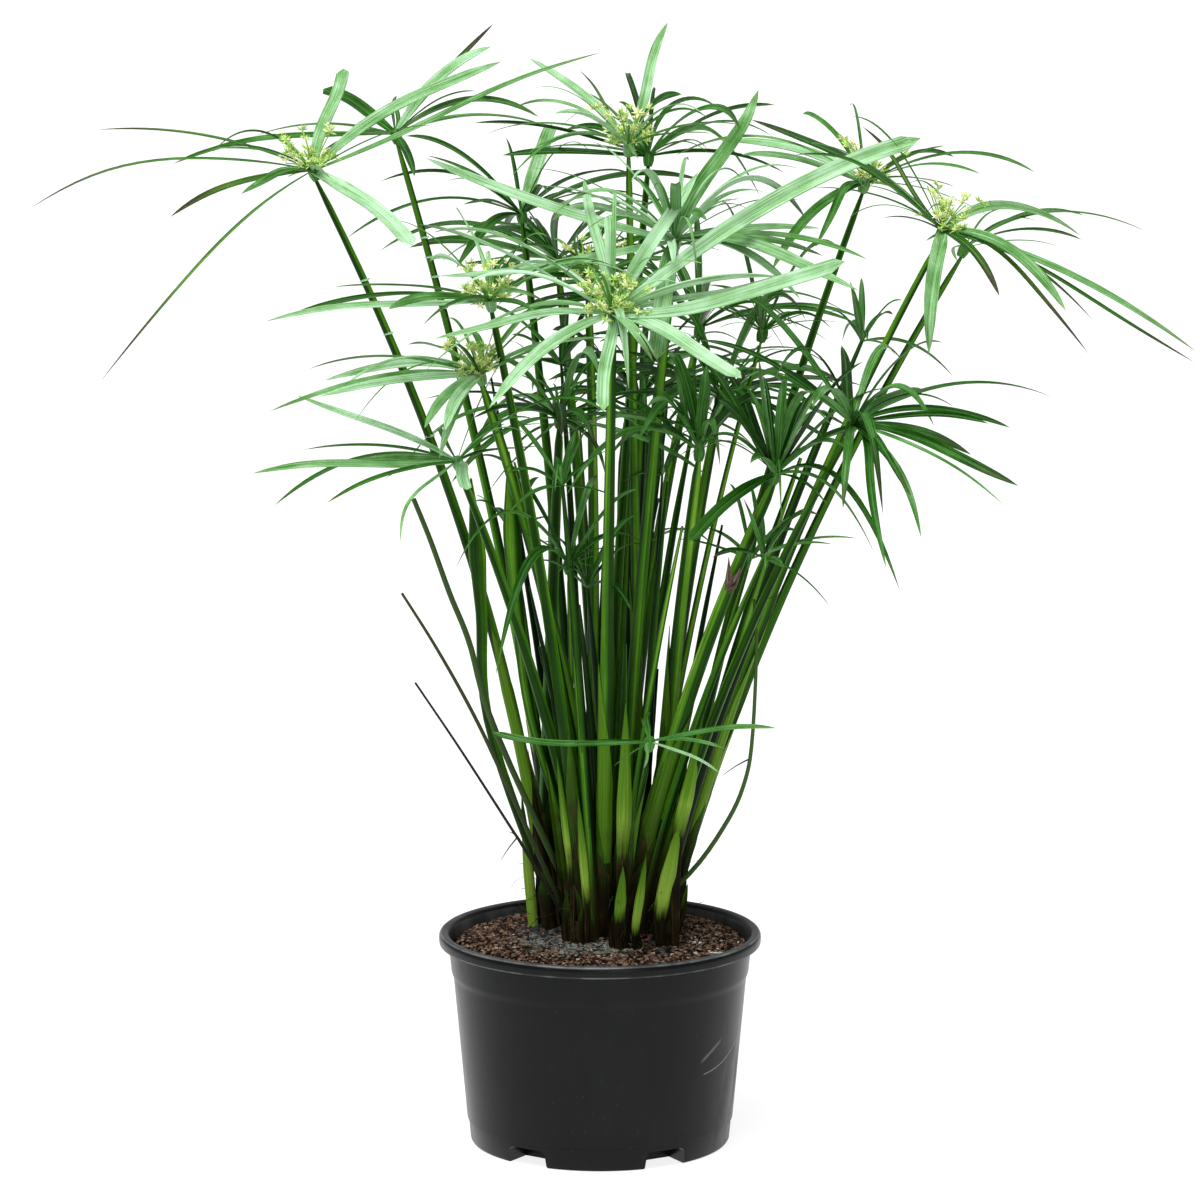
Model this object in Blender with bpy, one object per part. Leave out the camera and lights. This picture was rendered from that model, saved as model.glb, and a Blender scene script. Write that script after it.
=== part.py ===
"""An umbrella sedge in its black nursery pot, modelled at real size for Blender 4.5.

Frame: metres, +Z up. The origin is on the pot's axis at its base plane. The front of the plant faces -Y.
Every length below is in millimetres and is turned into metres where a mesh is made.
"""

import math
import random
from collections import namedtuple

import bmesh
import bpy
import numpy as np
from mathutils import Vector

MM = 0.001
UP = Vector((0.0, 0.0, 1.0))
GAP = 0.35                      # clearance between neighbouring pieces

# Pot
POT_SIDES = 32
POT_HEIGHT = 160.5
RIM_RADIUS = 121.0
LIP_DROP = 9.0                  # height of the turned-down lip
WALL = 2.0
COLLAR_RADIUS = 113.6
COLLAR_FOOT = 131.0             # height where the collar steps in to the tapered wall
COLLAR_FOOT_RADIUS = 111.8
COLLAR_STEP = 5.5               # height of that step
TAPER_TOP_RADIUS = 110.0
BASE_BAND = 18.0                # height of the line round the foot
BASE_BAND_RADIUS = 100.0
BASE_RADIUS = 95.0
BASE_CHAMFER = (2.8, 3.0)       # outward and upward size of the rounded bottom edge
FLOOR = 2.5
NOTCHES = 5
NOTCH_TURN = math.radians(-60.0)        # first notch, from +X
NOTCH_STEP = math.radians(74.0)
NOTCH_WIDTH = 35.0
NOTCH_HEIGHT = 13.5
NOTCH_DEPTH = 22.0
NOTCH_SHOULDER = 0.62           # where a notch's straight side ends, as a share of its height
NOTCH_ROOF = 0.55               # width of a notch's flat roof as a share of its whole width
SKIN_INSET = 0.6                # notch housings stop this far inside the pot's outside
LIP_THICKNESS = 2.2
LIP_UNDERSIDE = 4.0             # thickness of the rim where the lip hangs from it

# Soil and rootstock
SOIL_SIDES = 16
SOIL_EDGE = 148.5
SOIL_CROWN = 157.5
CLUMP = Vector((7.0, 25.0, 0.0))        # middle of the clump of stems
ROOT_SIDES = 14
ROOT_RADIUS = 62.0
ROOT_TOP = 160.0
ROOT_BOTTOM = 136.0
SOIL_SLACK = 0.6                # the potting mix stays this far off the wall
MOUND = (74.0, 5.5)             # radius of the mounded part and its height above the edge

# Stems
STEM_SIDES = 5
STEM_STEPS = (0.0, 0.13, 0.4, 0.7, 1.0)
STEM_GIRTH = (1.5, 1.28, 1.14, 1.0, 0.8)        # old sheaths thicken the foot
FOOT_SPREAD = 52.0
FOOT_PULL = 0.6                 # how strongly the widest leaning stems stand at the edge
BOWS = (0.30, 0.24, 0.36, 0.18, 0.42, 0.10, 0.50)       # share of the outward run made by mid height
SWAYS = (0.0, 6.0, -6.0, 12.0, -12.0, 18.0, -18.0, 25.0, -25.0, 33.0, -33.0)

# Umbels
HUB_RADIUS = 5.6
HUB_DEPTH = 3.0
HUB_CROWN = 1.5
SOCKET_WIDTH = 1.5
SOCKET_EASE = 0.72              # least spacing of bracts round the hub as a share of an even spacing
SOCKET_SHARE = 0.46             # most of the spacing that half a socket takes
AXIS_FOLLOW = 0.6               # how much of its stem's lean an umbel takes up
KEEL_SHARE = 0.28               # keel depth as a share of the blade's width
BLADE_ROOM = 0.42               # radius that a blade is given when clearances are checked, per width
FACE_LEAN = 0.8                 # bracts placed by hand turn their upper face this far to the front
# Place along a bract and share of its full width there
LONG_STEPS = ((0.0, 0.0), (0.33, 1.0), (0.68, 0.85), (1.0, 0.0))
SHORT_STEPS = ((0.0, 0.0), (0.5, 1.0), (1.0, 0.0))
CLEAR = 0.8
VIEWPOINT = Vector((0.0, -3748.0, 1039.0))      # bract tips are measured in a view from here
VIEW_UP = Vector((0.0, math.sin(math.radians(9.5)), math.cos(math.radians(9.5))))
LENGTH_TRIALS = (1.0, 1.03, 0.97, 1.06, 0.94, 1.1, 0.91, 1.15, 0.88, 1.2, 1.26, 1.33)
TURN_TRIALS = (0, 3, -3, 6, -6, 9, -9)
LIFT_TRIALS = (0, 5, -5, 10, -10, 16, -16, 22)
DEPTH_TRIALS = (0, -7, 7, -14, 14, -21, 21, -28, 28, -36, 36)
ASIDE_TRIALS = (0, 4, -4, 8, -8)
SETTLE_ROUNDS = 4
EASE_ROUNDS = 60

# Bracts that fill a whorl: ranges of length, width, lift in degrees, arch, sideways bend and roll
FILL_LENGTH = (0.62, 1.14)
FILL_WIDTH = (0.6, 1.1)
FILL_LIFT = (-14, 17)
FILL_ARCH = (0.04, 0.17)
FILL_SWAY = (-0.06, 0.06)
FILL_ROLL = (-0.6, 0.6)
FILL_TURN = (-0.2, 0.2)
NARROWEST = math.radians(13)    # gaps under this are left open

# Flower stalks: length, shares of it tried, rise and radii
FLOWER_REACH = 34.0
FLOWER_TRIALS = (1.0, 0.8, 0.6)
FLOWER_RISE = 0.9
FLOWER_RADII = (1.0, 0.8, 0.6)

# A bract's tip as seen from the front: across and rise from the hub, measured at the pot's distance, real
# length (negative when it comes towards the front), full width, and how far it arches above a straight line.
Bract = namedtuple("Bract", "across rise length width arch")
Umbel = namedtuple("Umbel", "hub stem tilt lift reach width count flowers bracts")


def umbel(hub, bracts=(), stem=3.4, tilt=(0.0, 0.0), lift=9.0, reach=150.0, width=8.5, count=14,
          flowers=False):
    """One entry of the list of umbels: where it is, its stem's radius, how it faces and what it carries."""
    return Umbel(Vector(hub), stem, tilt, lift, reach, width, count, flowers, [Bract(*b) for b in bracts])


UMBELS = [
    umbel((-209, -20, 731), stem=2.9, count=13, flowers=True, bracts=[
        (-208, -27, -225, 6, 23), (-159, 31, 190, 5, 12), (-157, -155, -235, 5, 16),
        (-105, -33, -155, 7, 10),
        (-53, -16, -125, 7, 8), (22, 76, 150, 10, 6), (138, 81, 185, 10, 13), (73, -54, -150, 13, 8),
        (212, 88, 245, 6, 5)]),
    umbel((-154, 110, 748), stem=2.7, count=11, bracts=[
        (-53, 34, 130, 9, 6), (-163, -21, 190, 7, 11), (70, 65, 102, 9, 14), (72, 82, 150, 6, 5),
        (1, 29, 110, 7, 5), (14, -30, -120, 8, 6), (-53, -11, -130, 8, 8)]),
    umbel((-79, -80, 642), stem=3.1, flowers=True, reach=135, bracts=[
        (-75, -5, -130, 9, 8), (-166, -14, -185, 6, 6)]),
    umbel((21, 40, 744), stem=2.9, flowers=True, reach=120, count=12, bracts=[
        (29, 92, 150, 7, 6), (-73, 66, 140, 8, 10), (-36, 57, 150, 5, 5), (-54, 25, -120, 9, 12)]),
    umbel((37, 150, 728), stem=3.0, reach=140, count=12, bracts=[
        (83, -31, 150, 9, 40)]),
    umbel((-60, 160, 683), stem=3.0, reach=140, tilt=(0.0, 0.25), count=12, bracts=[
        (22, 67, 150, 9, 5), (-70, 44, 140, 8, 10), (-43, 8, -115, 9, 8), (-48, -39, -130, 9, 14)]),
    umbel((9, -130, 638), stem=3.6, tilt=(0.0, -0.45), flowers=True, width=9.5, bracts=[
        (227, 131, 280, 13, 17), (171, 40, -200, 13, -6), (122, 30, 150, 6, 0), (95, -46, -150, 13, 8),
        (-7, -70, -130, 8, 8), (63, 106, 165, 10, 6), (-21, 101, 150, 8, 4), (-132, -17, -170, 9, 8),
        (-91, -68, -155, 10, 14)]),
    umbel((55, -30, 681), stem=3.6, reach=145, width=9.5, bracts=[
        (61, 112, 165, 11, 4), (-184, 62, 215, 9, -4), (135, -36, -180, 11, 14), (107, 10, 150, 8, 6),
        (-175, -25, -200, 9, -3), (0, 27, 95, 8, 4)]),
    umbel((197, 60, 715), stem=2.8, flowers=True, reach=135, count=12, bracts=[
        (-106, 33, 145, 10, 12), (-90, 22, -135, 9, 8), (-68, -63, -135, 9, 16), (-36, -46, -110, 7, 16)]),
    umbel((250, -20, 687), stem=2.7, flowers=True, count=14, bracts=[
        (-141, 83, 190, 8, 14), (102, -3, 140, 9, 22), (187, -88, -230, 9, 14), (186, -96, 222, 6, 10),
        (91, -58, -150, 10, 20), (108, -90, -175, 5, 20), (111, -65, 150, 6, 15), (-10, -90, -145, 9, 22),
        (42, -47, -130, 9, 12), (-59, 78, 135, 5, 5)]),
    umbel((277, 130, 660), stem=2.7, reach=140, count=10),
    umbel((181, -110, 557), stem=2.7, count=15, bracts=[
        (101, 1, -150, 12, 8), (123, -45, -170, 8, 8), (113, -60, -190, 6, 10), (88, -22, 130, 9, 8),
        (117, -2, 160, 9, 14), (51, 27, 125, 8, 6), (25, -106, -165, 8, 24), (51, -84, -160, 8, 20),
        (44, -54, -140, 8, 12), (-7, -62, -130, 8, 14), (21, 48, 120, 10, 5), (-8, 59, 140, 9, 5)]),
    umbel((127, -80, 516), stem=4.4, lift=52, reach=115, width=12, count=12, bracts=[
        (-42, 56, -110, 12, 10), (-38, 79, 115, 12, 6), (-12, 86, -120, 12, 6), (10, 82, 125, 12, 6),
        (36, 71, -115, 12, 8)]),
    umbel((73, -20, 525), stem=4.0, lift=58, reach=90, width=11, count=10),
    umbel((-103, -90, 527), stem=3.1, reach=125, bracts=[
        (-152, -8, -180, 8, 4), (-85, -1, 130, 9, 5), (-97, -30, -155, 5, 8), (7, -20, -85, 8, 6),
        (-119, 50, 165, 6, 4), (36, 29, 115, 8, 5), (60, 12, 125, 8, 5)]),
    umbel((-87, -60, 586), stem=3.8, flowers=True, reach=120, bracts=[
        (-119, -15, -145, 9, 6), (-115, -3, 140, 9, 12), (-156, -26, -185, 8, 12), (-41, -38, -115, 8, 10),
        (-26, -40, -105, 8, 10)]),
    umbel((36, -90, 321), stem=1.7, reach=62, width=4, count=9, lift=4, bracts=[
        (-117, 8, 128, 4, -4), (95, 11, -108, 4, 5), (53, -23, -72, 4, 4), (-4, -19, -62, 4, 4)]),
    umbel((121, 40, 606), stem=1.9, reach=52, width=3.5, count=11, lift=12),
    umbel((-23, -40, 444), stem=1.8, reach=42, width=3.5, count=9, lift=20),
    umbel((-9, 60, 642), flowers=True, reach=130),
    umbel((-30, 20, 544), stem=3.8, reach=135, lift=-4),
    umbel((31, 150, 542), stem=3.8, reach=145),
    umbel((90, 60, 554), stem=3.8, reach=135, lift=-4, width=9.5),
    umbel((77, 190, 592), reach=150),
    umbel((-33, 227, 641), reach=152),
]

# Bare stalks and folded young shoots: points from the soil end up, and radii there.
STALKS = [
    ([(-77, -34, 318), (-96, -45, 387), (-110, -50, 424), (-124, -55, 465), (-136, -58, 496)], 2.7, 2.0),
    ([(-71, -62, 290), (-94, -78, 343), (-119, -92, 392), (-143, -105, 434)], 2.0, 1.1),
    ([(-56, -60, 236), (-66, -72, 255), (-102, -100, 319), (-133, -125, 372)], 1.5, 0.9),
    ([(69, -45, 210), (94, -60, 250), (106, -68, 279), (112, -72, 312), (115, -74, 383), (113, -74, 420)],
     2.2, 1.3),
]
SHOOTS = [
    ([(-74, -36, 313), (-80, -52, 405), (-83, -56, 451), (-87, -58, 506)], (3.4, 4.4, 6.6, 0.8)),
    ([(-41, -46, 315), (-53, -60, 407), (-57, -64, 467), (-59, -66, 527)], (3.4, 4.6, 7.0, 0.8)),
]

LOOKS = {
    "pot_plastic": ((0.035, 0.036, 0.038), 0.42),
    "soil": ((0.075, 0.052, 0.038), 0.95),
    "root": ((0.10, 0.075, 0.045), 0.9),
    "stem": ((0.13, 0.26, 0.07), 0.5),
    "bract": ((0.12, 0.33, 0.10), 0.45),
    "shoot": ((0.30, 0.52, 0.10), 0.45),
    "dead_stalk": ((0.16, 0.14, 0.06), 0.7),
}


class Clearances:
    """Straight runs that are already taken, each with a radius, an owner and its place along its owner."""

    def __init__(self):
        self.starts = np.zeros((0, 3))
        self.ends = np.zeros((0, 3))
        self.radii = np.zeros(0)
        self.owners = []
        self.roots = np.zeros(0, dtype=bool)

    def add(self, points, radii, owner):
        points = np.array([tuple(p) for p in points])
        radii = np.array(radii, dtype=float)
        self.starts = np.vstack([self.starts, points[:-1]])
        self.ends = np.vstack([self.ends, points[1:]])
        self.radii = np.concatenate([self.radii, np.maximum(radii[:-1], radii[1:])])
        self.owners += [owner] * (len(points) - 1)
        self.roots = np.concatenate([self.roots, np.arange(len(points) - 1) == 0])

    def drop(self, owner):
        keep = np.array([o != owner for o in self.owners], dtype=bool)
        self.starts = self.starts[keep]
        self.ends = self.ends[keep]
        self.radii = self.radii[keep]
        self.roots = self.roots[keep]
        self.owners = [o for o in self.owners if o != owner]

    def room(self, points, radii, owner):
        """Smallest free distance to what is taken. First runs from the same hub don't count."""
        if not self.owners:
            return math.inf
        kin = np.array([o == owner for o in self.owners])
        least = math.inf
        for i in range(len(points) - 1):
            apart = run_distance(np.array(points[i]), np.array(points[i + 1]), self.starts, self.ends)
            apart = apart - self.radii - max(radii[i], radii[i + 1])
            others = apart[~kin] if i == 0 else apart[~(kin & self.roots)]
            if len(others):
                least = min(least, float(others.min()))
        return least


def run_distance(p, q, starts, ends):
    """Distance from the straight run p to q to each of many other runs."""
    d1 = q - p
    d2 = ends - starts
    r = p - starts
    a = float(d1 @ d1) + 1e-12
    e = np.einsum("ij,ij->i", d2, d2) + 1e-12
    b = d2 @ d1
    c = r @ d1
    f = np.einsum("ij,ij->i", d2, r)
    s = np.clip((b * f - c * e) / np.maximum(a * e - b * b, 1e-9), 0.0, 1.0)
    t = np.clip((b * s + f) / e, 0.0, 1.0)
    s = np.clip((b * t - c) / a, 0.0, 1.0)
    gap = (p + s[:, None] * d1) - (starts + t[:, None] * d2)
    return np.sqrt(np.einsum("ij,ij->i", gap, gap))


def material(name):
    found = bpy.data.materials.get(name)
    if found:
        return found
    colour, roughness = LOOKS[name]
    made = bpy.data.materials.new(name)
    made.use_nodes = True
    shader = made.node_tree.nodes["Principled BSDF"]
    shader.inputs["Base Color"].default_value = (*colour, 1.0)
    shader.inputs["Roughness"].default_value = roughness
    shader.inputs["Metallic"].default_value = 0.0
    return made


def add_object(name, points, faces, look):
    """A mesh object from points in millimetres, its faces cut to triangles."""
    mesh = bpy.data.meshes.new(name)
    mesh.from_pydata([Vector(p) * MM for p in points], [], faces)
    work = bmesh.new()
    work.from_mesh(mesh)
    bmesh.ops.triangulate(work, faces=work.faces)
    work.to_mesh(mesh)
    work.free()
    made = bpy.data.objects.new(name, mesh)
    made.data.materials.append(material(look))
    bpy.context.collection.objects.link(made)
    return made


def turned(name, profile, sides, look):
    """A solid turned round Z. The profile runs from the axis at the bottom, out, up and back to it."""
    rings = profile[1:-1]
    points = [(0.0, 0.0, profile[0][1])]
    for radius, height in rings:
        for k in range(sides):
            angle = 2 * math.pi * k / sides
            points.append((radius * math.cos(angle), radius * math.sin(angle), height))
    points.append((0.0, 0.0, profile[-1][1]))
    top = len(points) - 1
    faces = []
    for k in range(sides):
        following = (k + 1) % sides
        faces.append((0, 1 + following, 1 + k))
        for ring in range(len(rings) - 1):
            low = 1 + ring * sides
            high = low + sides
            faces.append((low + k, low + following, high + following, high + k))
        last = 1 + (len(rings) - 1) * sides
        faces.append((last + k, last + following, top))
    return add_object(name, points, faces, look)


def arch_block(name, turn, near, far, width, bottom, top):
    """A block with an arched roof that lies along the radius at an angle."""
    half = width / 2
    rise = top - bottom
    shoulder = bottom + rise * NOTCH_SHOULDER
    roof = half * NOTCH_ROOF
    right = [(half, bottom), (half, shoulder), (roof, top)]
    outline = [(-half, bottom)] + right + [(-roof, top), (-half, shoulder)]
    out = Vector((math.cos(turn), math.sin(turn), 0.0))
    side = Vector((-math.sin(turn), math.cos(turn), 0.0))
    points = [out * reach + side * u + UP * v for reach in (near, far) for u, v in outline]
    count = len(outline)
    faces = [tuple(reversed(range(count))), tuple(range(count, 2 * count))]
    for k in range(count):
        following = (k + 1) % count
        faces.append((k, following, count + following, count + k))
    return add_object(name, points, faces, "pot_plastic")


def as_guide(thing):
    thing.hide_render = True
    thing.display_type = "WIRE"
    return thing


def combine(target, tool, operation):
    step = target.modifiers.new(f"{operation.lower()}_{tool.name}", "BOOLEAN")
    step.operation = operation
    step.solver = "EXACT"
    step.object = as_guide(tool)


def notch_turns():
    return [NOTCH_TURN + NOTCH_STEP * k for k in range(NOTCHES)]


def outer_profile(inset):
    """Outside of the pot up to the lip, from the axis out, drawn in by an inset."""
    chamfer_out, chamfer_up = BASE_CHAMFER
    return [
        (0.0, inset), (BASE_RADIUS - inset, inset), (BASE_RADIUS + chamfer_out - inset, chamfer_up),
        (BASE_BAND_RADIUS - 1.0 - inset, BASE_BAND - 0.8), (BASE_BAND_RADIUS - inset, BASE_BAND),
        (TAPER_TOP_RADIUS - inset, COLLAR_FOOT - COLLAR_STEP), (COLLAR_FOOT_RADIUS - inset, COLLAR_FOOT),
        (COLLAR_RADIUS - inset, POT_HEIGHT - LIP_UNDERSIDE)]


def collar_inside(height):
    """Radius of the wall's inner side at a height in the collar."""
    share = (height - COLLAR_FOOT) / (POT_HEIGHT - COLLAR_FOOT)
    return COLLAR_FOOT_RADIUS - WALL + share * (COLLAR_RADIUS - COLLAR_FOOT_RADIUS)


def make_pot():
    """Thin wall with a turned-down lip, a collar, a foot band and five arched drainage notches."""
    inner_top = POT_HEIGHT - 2.5
    inner_foot = COLLAR_FOOT + 1.0
    lip_and_inside = [
        (RIM_RADIUS - LIP_THICKNESS, POT_HEIGHT - LIP_UNDERSIDE),
        (RIM_RADIUS - WALL, POT_HEIGHT - LIP_DROP), (RIM_RADIUS - 0.6, POT_HEIGHT - LIP_DROP),
        (RIM_RADIUS, POT_HEIGHT - 4.0), (RIM_RADIUS - 2.5, POT_HEIGHT), (COLLAR_RADIUS + 0.6, POT_HEIGHT),
        (collar_inside(inner_top), inner_top), (collar_inside(inner_foot), inner_foot),
        (TAPER_TOP_RADIUS - WALL, COLLAR_FOOT - COLLAR_STEP), (BASE_RADIUS - 0.6, FLOOR), (0.0, FLOOR)]
    pot = turned("pot", outer_profile(0.0) + lip_and_inside, POT_SIDES, "pot_plastic")
    inside_skin = turned("pot_skin", outer_profile(SKIN_INSET) + [(0.0, POT_HEIGHT - LIP_UNDERSIDE)],
                         POT_SIDES, "pot_plastic")
    for k, turn in enumerate(notch_turns()):
        housing = arch_block(f"notch_housing_{k}", turn, BASE_RADIUS - NOTCH_DEPTH - WALL, RIM_RADIUS,
                             NOTCH_WIDTH + 2 * WALL, FLOOR / 2, NOTCH_HEIGHT + WALL)
        combine(housing, inside_skin, "INTERSECT")
        combine(pot, housing, "UNION")
    for k, turn in enumerate(notch_turns()):
        hollow = arch_block(f"notch_hollow_{k}", turn, BASE_RADIUS - NOTCH_DEPTH, RIM_RADIUS, NOTCH_WIDTH,
                            -3.0, NOTCH_HEIGHT)
        combine(pot, hollow, "DIFFERENCE")
    return pot


def root_points(extra):
    """Rings of the lumpy woody crown, swollen by a clearance when it is used as a cutter."""
    rings = [(0.86, ROOT_BOTTOM - extra), (1.0, 0.5 * (ROOT_TOP + ROOT_BOTTOM)), (0.94, ROOT_TOP + extra)]
    points = []
    for share, height in rings:
        for k in range(ROOT_SIDES):
            angle = 2 * math.pi * k / ROOT_SIDES
            lump = 1.0 + 0.05 * math.sin(3 * angle + 0.7) + 0.03 * math.sin(5 * angle)
            radius = ROOT_RADIUS * share * lump + extra
            points.append(CLUMP + Vector((radius * math.cos(angle), radius * math.sin(angle), height)))
    return points, len(rings)


def make_rootstock(name, extra=0.0):
    points, rings = root_points(extra)
    faces = [tuple(reversed(range(ROOT_SIDES)))]
    for ring in range(rings - 1):
        for k in range(ROOT_SIDES):
            low = ring * ROOT_SIDES
            following = (k + 1) % ROOT_SIDES
            faces.append((low + k, low + following, low + ROOT_SIDES + following, low + ROOT_SIDES + k))
    faces.append(tuple(range((rings - 1) * ROOT_SIDES, rings * ROOT_SIDES)))
    return add_object(name, points, faces, "root")


def make_soil():
    """The potting mix: it fills the pot round the notch housings and is mounded round the clump."""
    mound_radius, mound_height = MOUND
    profile = [
        (0.0, FLOOR + GAP), (BASE_RADIUS - 3 * SOIL_SLACK, FLOOR + GAP),
        (TAPER_TOP_RADIUS - WALL - SOIL_SLACK, COLLAR_FOOT - COLLAR_STEP),
        (collar_inside(COLLAR_FOOT) - SOIL_SLACK, COLLAR_FOOT + 2.0),
        (collar_inside(SOIL_EDGE) - SOIL_SLACK, SOIL_EDGE), (mound_radius, SOIL_EDGE + mound_height),
        (0.0, SOIL_CROWN)]
    soil = turned("soil", profile, SOIL_SIDES, "soil")
    for k, turn in enumerate(notch_turns()):
        bed = arch_block(f"notch_bed_{k}", turn, BASE_RADIUS - NOTCH_DEPTH - WALL - GAP, RIM_RADIUS,
                         NOTCH_WIDTH + 2 * (WALL + GAP), FLOOR / 2, NOTCH_HEIGHT + WALL + GAP)
        combine(soil, bed, "DIFFERENCE")
    combine(soil, make_rootstock("rootstock_bed", GAP), "DIFFERENCE")
    return soil


def tube(route):
    """A closed tube along a route, with flat ends square to the given axes."""
    points = route.line
    sides = STEM_SIDES
    count = len(points)
    tangents = []
    for i in range(count):
        ahead = points[min(i + 1, count - 1)]
        behind = points[max(i - 1, 0)]
        tangents.append((ahead - behind).normalized())
    tangents[0] = route.start_axis
    tangents[-1] = route.end_axis or tangents[-1]
    verts = []
    for point, radius, axis in zip(points, route.radii, tangents):
        side = axis.cross(Vector((0.0, 1.0, 0.0))).normalized()
        front = axis.cross(side)
        for k in range(sides):
            angle = 2 * math.pi * k / sides
            verts.append(point + (side * math.cos(angle) + front * math.sin(angle)) * radius)
    faces = [tuple(reversed(range(sides)))]
    for ring in range(count - 1):
        low = ring * sides
        for k in range(sides):
            following = (k + 1) % sides
            faces.append((low + k, low + following, low + sides + following, low + sides + k))
    faces.append(tuple(range((count - 1) * sides, count * sides)))
    return add_object(route.name, verts, faces, route.look)


def sunflower(count, spread):
    """Places spread evenly over the top of the rootstock."""
    golden = math.pi * (3 - math.sqrt(5))
    places = []
    for k in range(count):
        radius = spread * math.sqrt((k + 0.5) / count)
        places.append(CLUMP + Vector((radius * math.cos(k * golden), radius * math.sin(k * golden), 0.0)))
    return places


def share_out_feet(targets):
    """Gives each stem the free place on the rootstock that suits its lean, the widest leaning first."""
    places = sunflower(len(targets), FOOT_SPREAD)
    widest = max((t - CLUMP).xy.length for t in targets)
    feet = [None] * len(targets)
    for index in sorted(range(len(targets)), key=lambda i: -(targets[i] - CLUMP).xy.length):
        lean = (targets[index] - CLUMP).xy
        wanted = CLUMP.xy + lean.normalized() * FOOT_SPREAD * (lean.length / widest) ** FOOT_PULL
        best = min(places, key=lambda p: (p.xy - wanted).length)
        places.remove(best)
        feet[index] = Vector((best.x, best.y, ROOT_TOP + GAP))
    return feet


def stem_line(foot, top, bow, sway):
    """Points of a stem that rises, then leans outward to its top, with a little sideways sway."""
    run = Vector((top.x - foot.x, top.y - foot.y, 0.0))
    side = Vector((-run.y, run.x, 0.0)).normalized() * sway
    middle = foot + run * bow + side + UP * (top.z - foot.z) * 0.5
    return [foot * (1 - t) ** 2 + middle * 2 * t * (1 - t) + top * t ** 2 for t in STEM_STEPS]


Route = namedtuple("Route", "name owner line radii start_axis end_axis look")


def stem_routes(index, plan, foot):
    """Ways that a stem could run from its foot to its umbel."""
    radii = [plan.stem * g for g in STEM_GIRTH]
    axis = hub_axis(plan, plan.hub - foot)
    top = plan.hub - axis * (HUB_DEPTH + GAP)
    return [Route(f"stem_{index + 1:02d}", index, stem_line(foot, top, bow, sway), radii, UP, axis, "stem")
            for sway in SWAYS for bow in BOWS]


def bare_routes(name, points, radii, foot, look):
    """Ways that a bare stalk or shoot could run, moved in depth and a little sideways."""
    routes = []
    for aside in ASIDE_TRIALS:
        for shift in DEPTH_TRIALS:
            line = [foot] + [Vector(p) + Vector((aside, shift, 0.0)) for p in points]
            routes.append(Route(name, name, line, radii, UP, None, look))
    return routes


def settle(choices, taken):
    """Picks a way for each piece so that none touches another, going round until all are clear."""
    picked = [None] * len(choices)
    for _ in range(SETTLE_ROUNDS):
        for k, routes in enumerate(choices):
            taken.drop(routes[0].owner)
            rooms = [min(taken.room(r.line, r.radii, r.owner), CLEAR) for r in routes]
            picked[k] = routes[rooms.index(max(rooms))]
            taken.add(picked[k].line, picked[k].radii, picked[k].owner)
    return picked


def grow_upright_pieces(taken):
    """All stems, folded shoots and bare stalks. Returns the stems' routes."""
    shoot_tops = [Vector(points[-1]) for points, _ in SHOOTS]
    stalk_tops = [Vector(points[-1]) for points, _, _ in STALKS]
    feet = share_out_feet([plan.hub for plan in UMBELS] + shoot_tops + stalk_tops)
    choices = [stem_routes(i, plan, feet[i]) for i, plan in enumerate(UMBELS)]
    bare_feet = feet[len(UMBELS):]
    for number, (points, radii) in enumerate(SHOOTS, 1):
        girth = [radii[0] * 1.1] + list(radii)
        choices.append(bare_routes(f"shoot_{number}", points, girth, bare_feet[number - 1], "shoot"))
    for number, (points, thick, thin) in enumerate(STALKS, 1):
        steps = len(points)
        radii = [thick + (thin - thick) * i / steps for i in range(steps + 1)]
        foot = bare_feet[len(SHOOTS) + number - 1]
        choices.append(bare_routes(f"stalk_{number}", points, radii, foot, "dead_stalk"))
    picked = settle(choices, taken)
    for route in picked:
        tube(route)
    return picked[:len(UMBELS)]


def hub_axis(plan, toward):
    """The way an umbel faces: along its stem, turned by its own tilt."""
    lean = toward.normalized()
    tilt_x, tilt_y = plan.tilt
    return Vector((lean.x * AXIS_FOLLOW + tilt_x, lean.y * AXIS_FOLLOW + tilt_y, 1.0)).normalized()


def seen_tip(hub, bract, stretch):
    """Tip offset of a bract from where its tip is seen from the viewpoint, and its real length."""
    length = bract.length * stretch
    scale = (hub.y - VIEWPOINT.y) / -VIEWPOINT.y
    seen = Vector((bract.across, 0.0, 0.0)) * scale + VIEW_UP * bract.rise * scale
    sight = (hub + seen - VIEWPOINT).normalized()
    along = seen.dot(sight)
    reach = math.sqrt(max(along ** 2 - seen.length_squared + length ** 2, 0.0))
    return seen + sight * (math.copysign(reach, length) - along)


def swung_tip(axis, azimuth, lift, length):
    """Tip offset of a bract at an azimuth round the umbel and a lift above the umbel's own plane."""
    level = Vector((math.cos(azimuth), math.sin(azimuth), 0.0))
    level = (level - axis * level.dot(axis)).normalized()
    return (level * math.cos(lift) + axis * math.sin(lift)) * length


def bract_line(hub, tip, bend, steps):
    """Points along a bract that bends away from the straight line to its tip."""
    return [hub + tip * t + bend * (4 * t * (1 - t)) for t, _ in steps]


def widest_gap(azimuths):
    """Middle of the widest free stretch between azimuths that are already used."""
    ordered = sorted(a % (2 * math.pi) for a in azimuths)
    following = ordered[1:] + ordered[:1]
    spans = [(after - before) % (2 * math.pi) or 2 * math.pi for before, after in zip(ordered, following)]
    span = max(spans)
    return ordered[spans.index(span)] + span / 2, span


class Blade:
    """One bract: its line, its width at each point and the way its upper face looks."""

    def __init__(self, line, steps, width, face, azimuth):
        self.line = line
        self.widths = [SOCKET_WIDTH if share == 0 and t == 0 else width * share for t, share in steps]
        self.face = face
        self.azimuth = azimuth

    def radii(self):
        return [BLADE_ROOM * w for w in self.widths]


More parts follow.
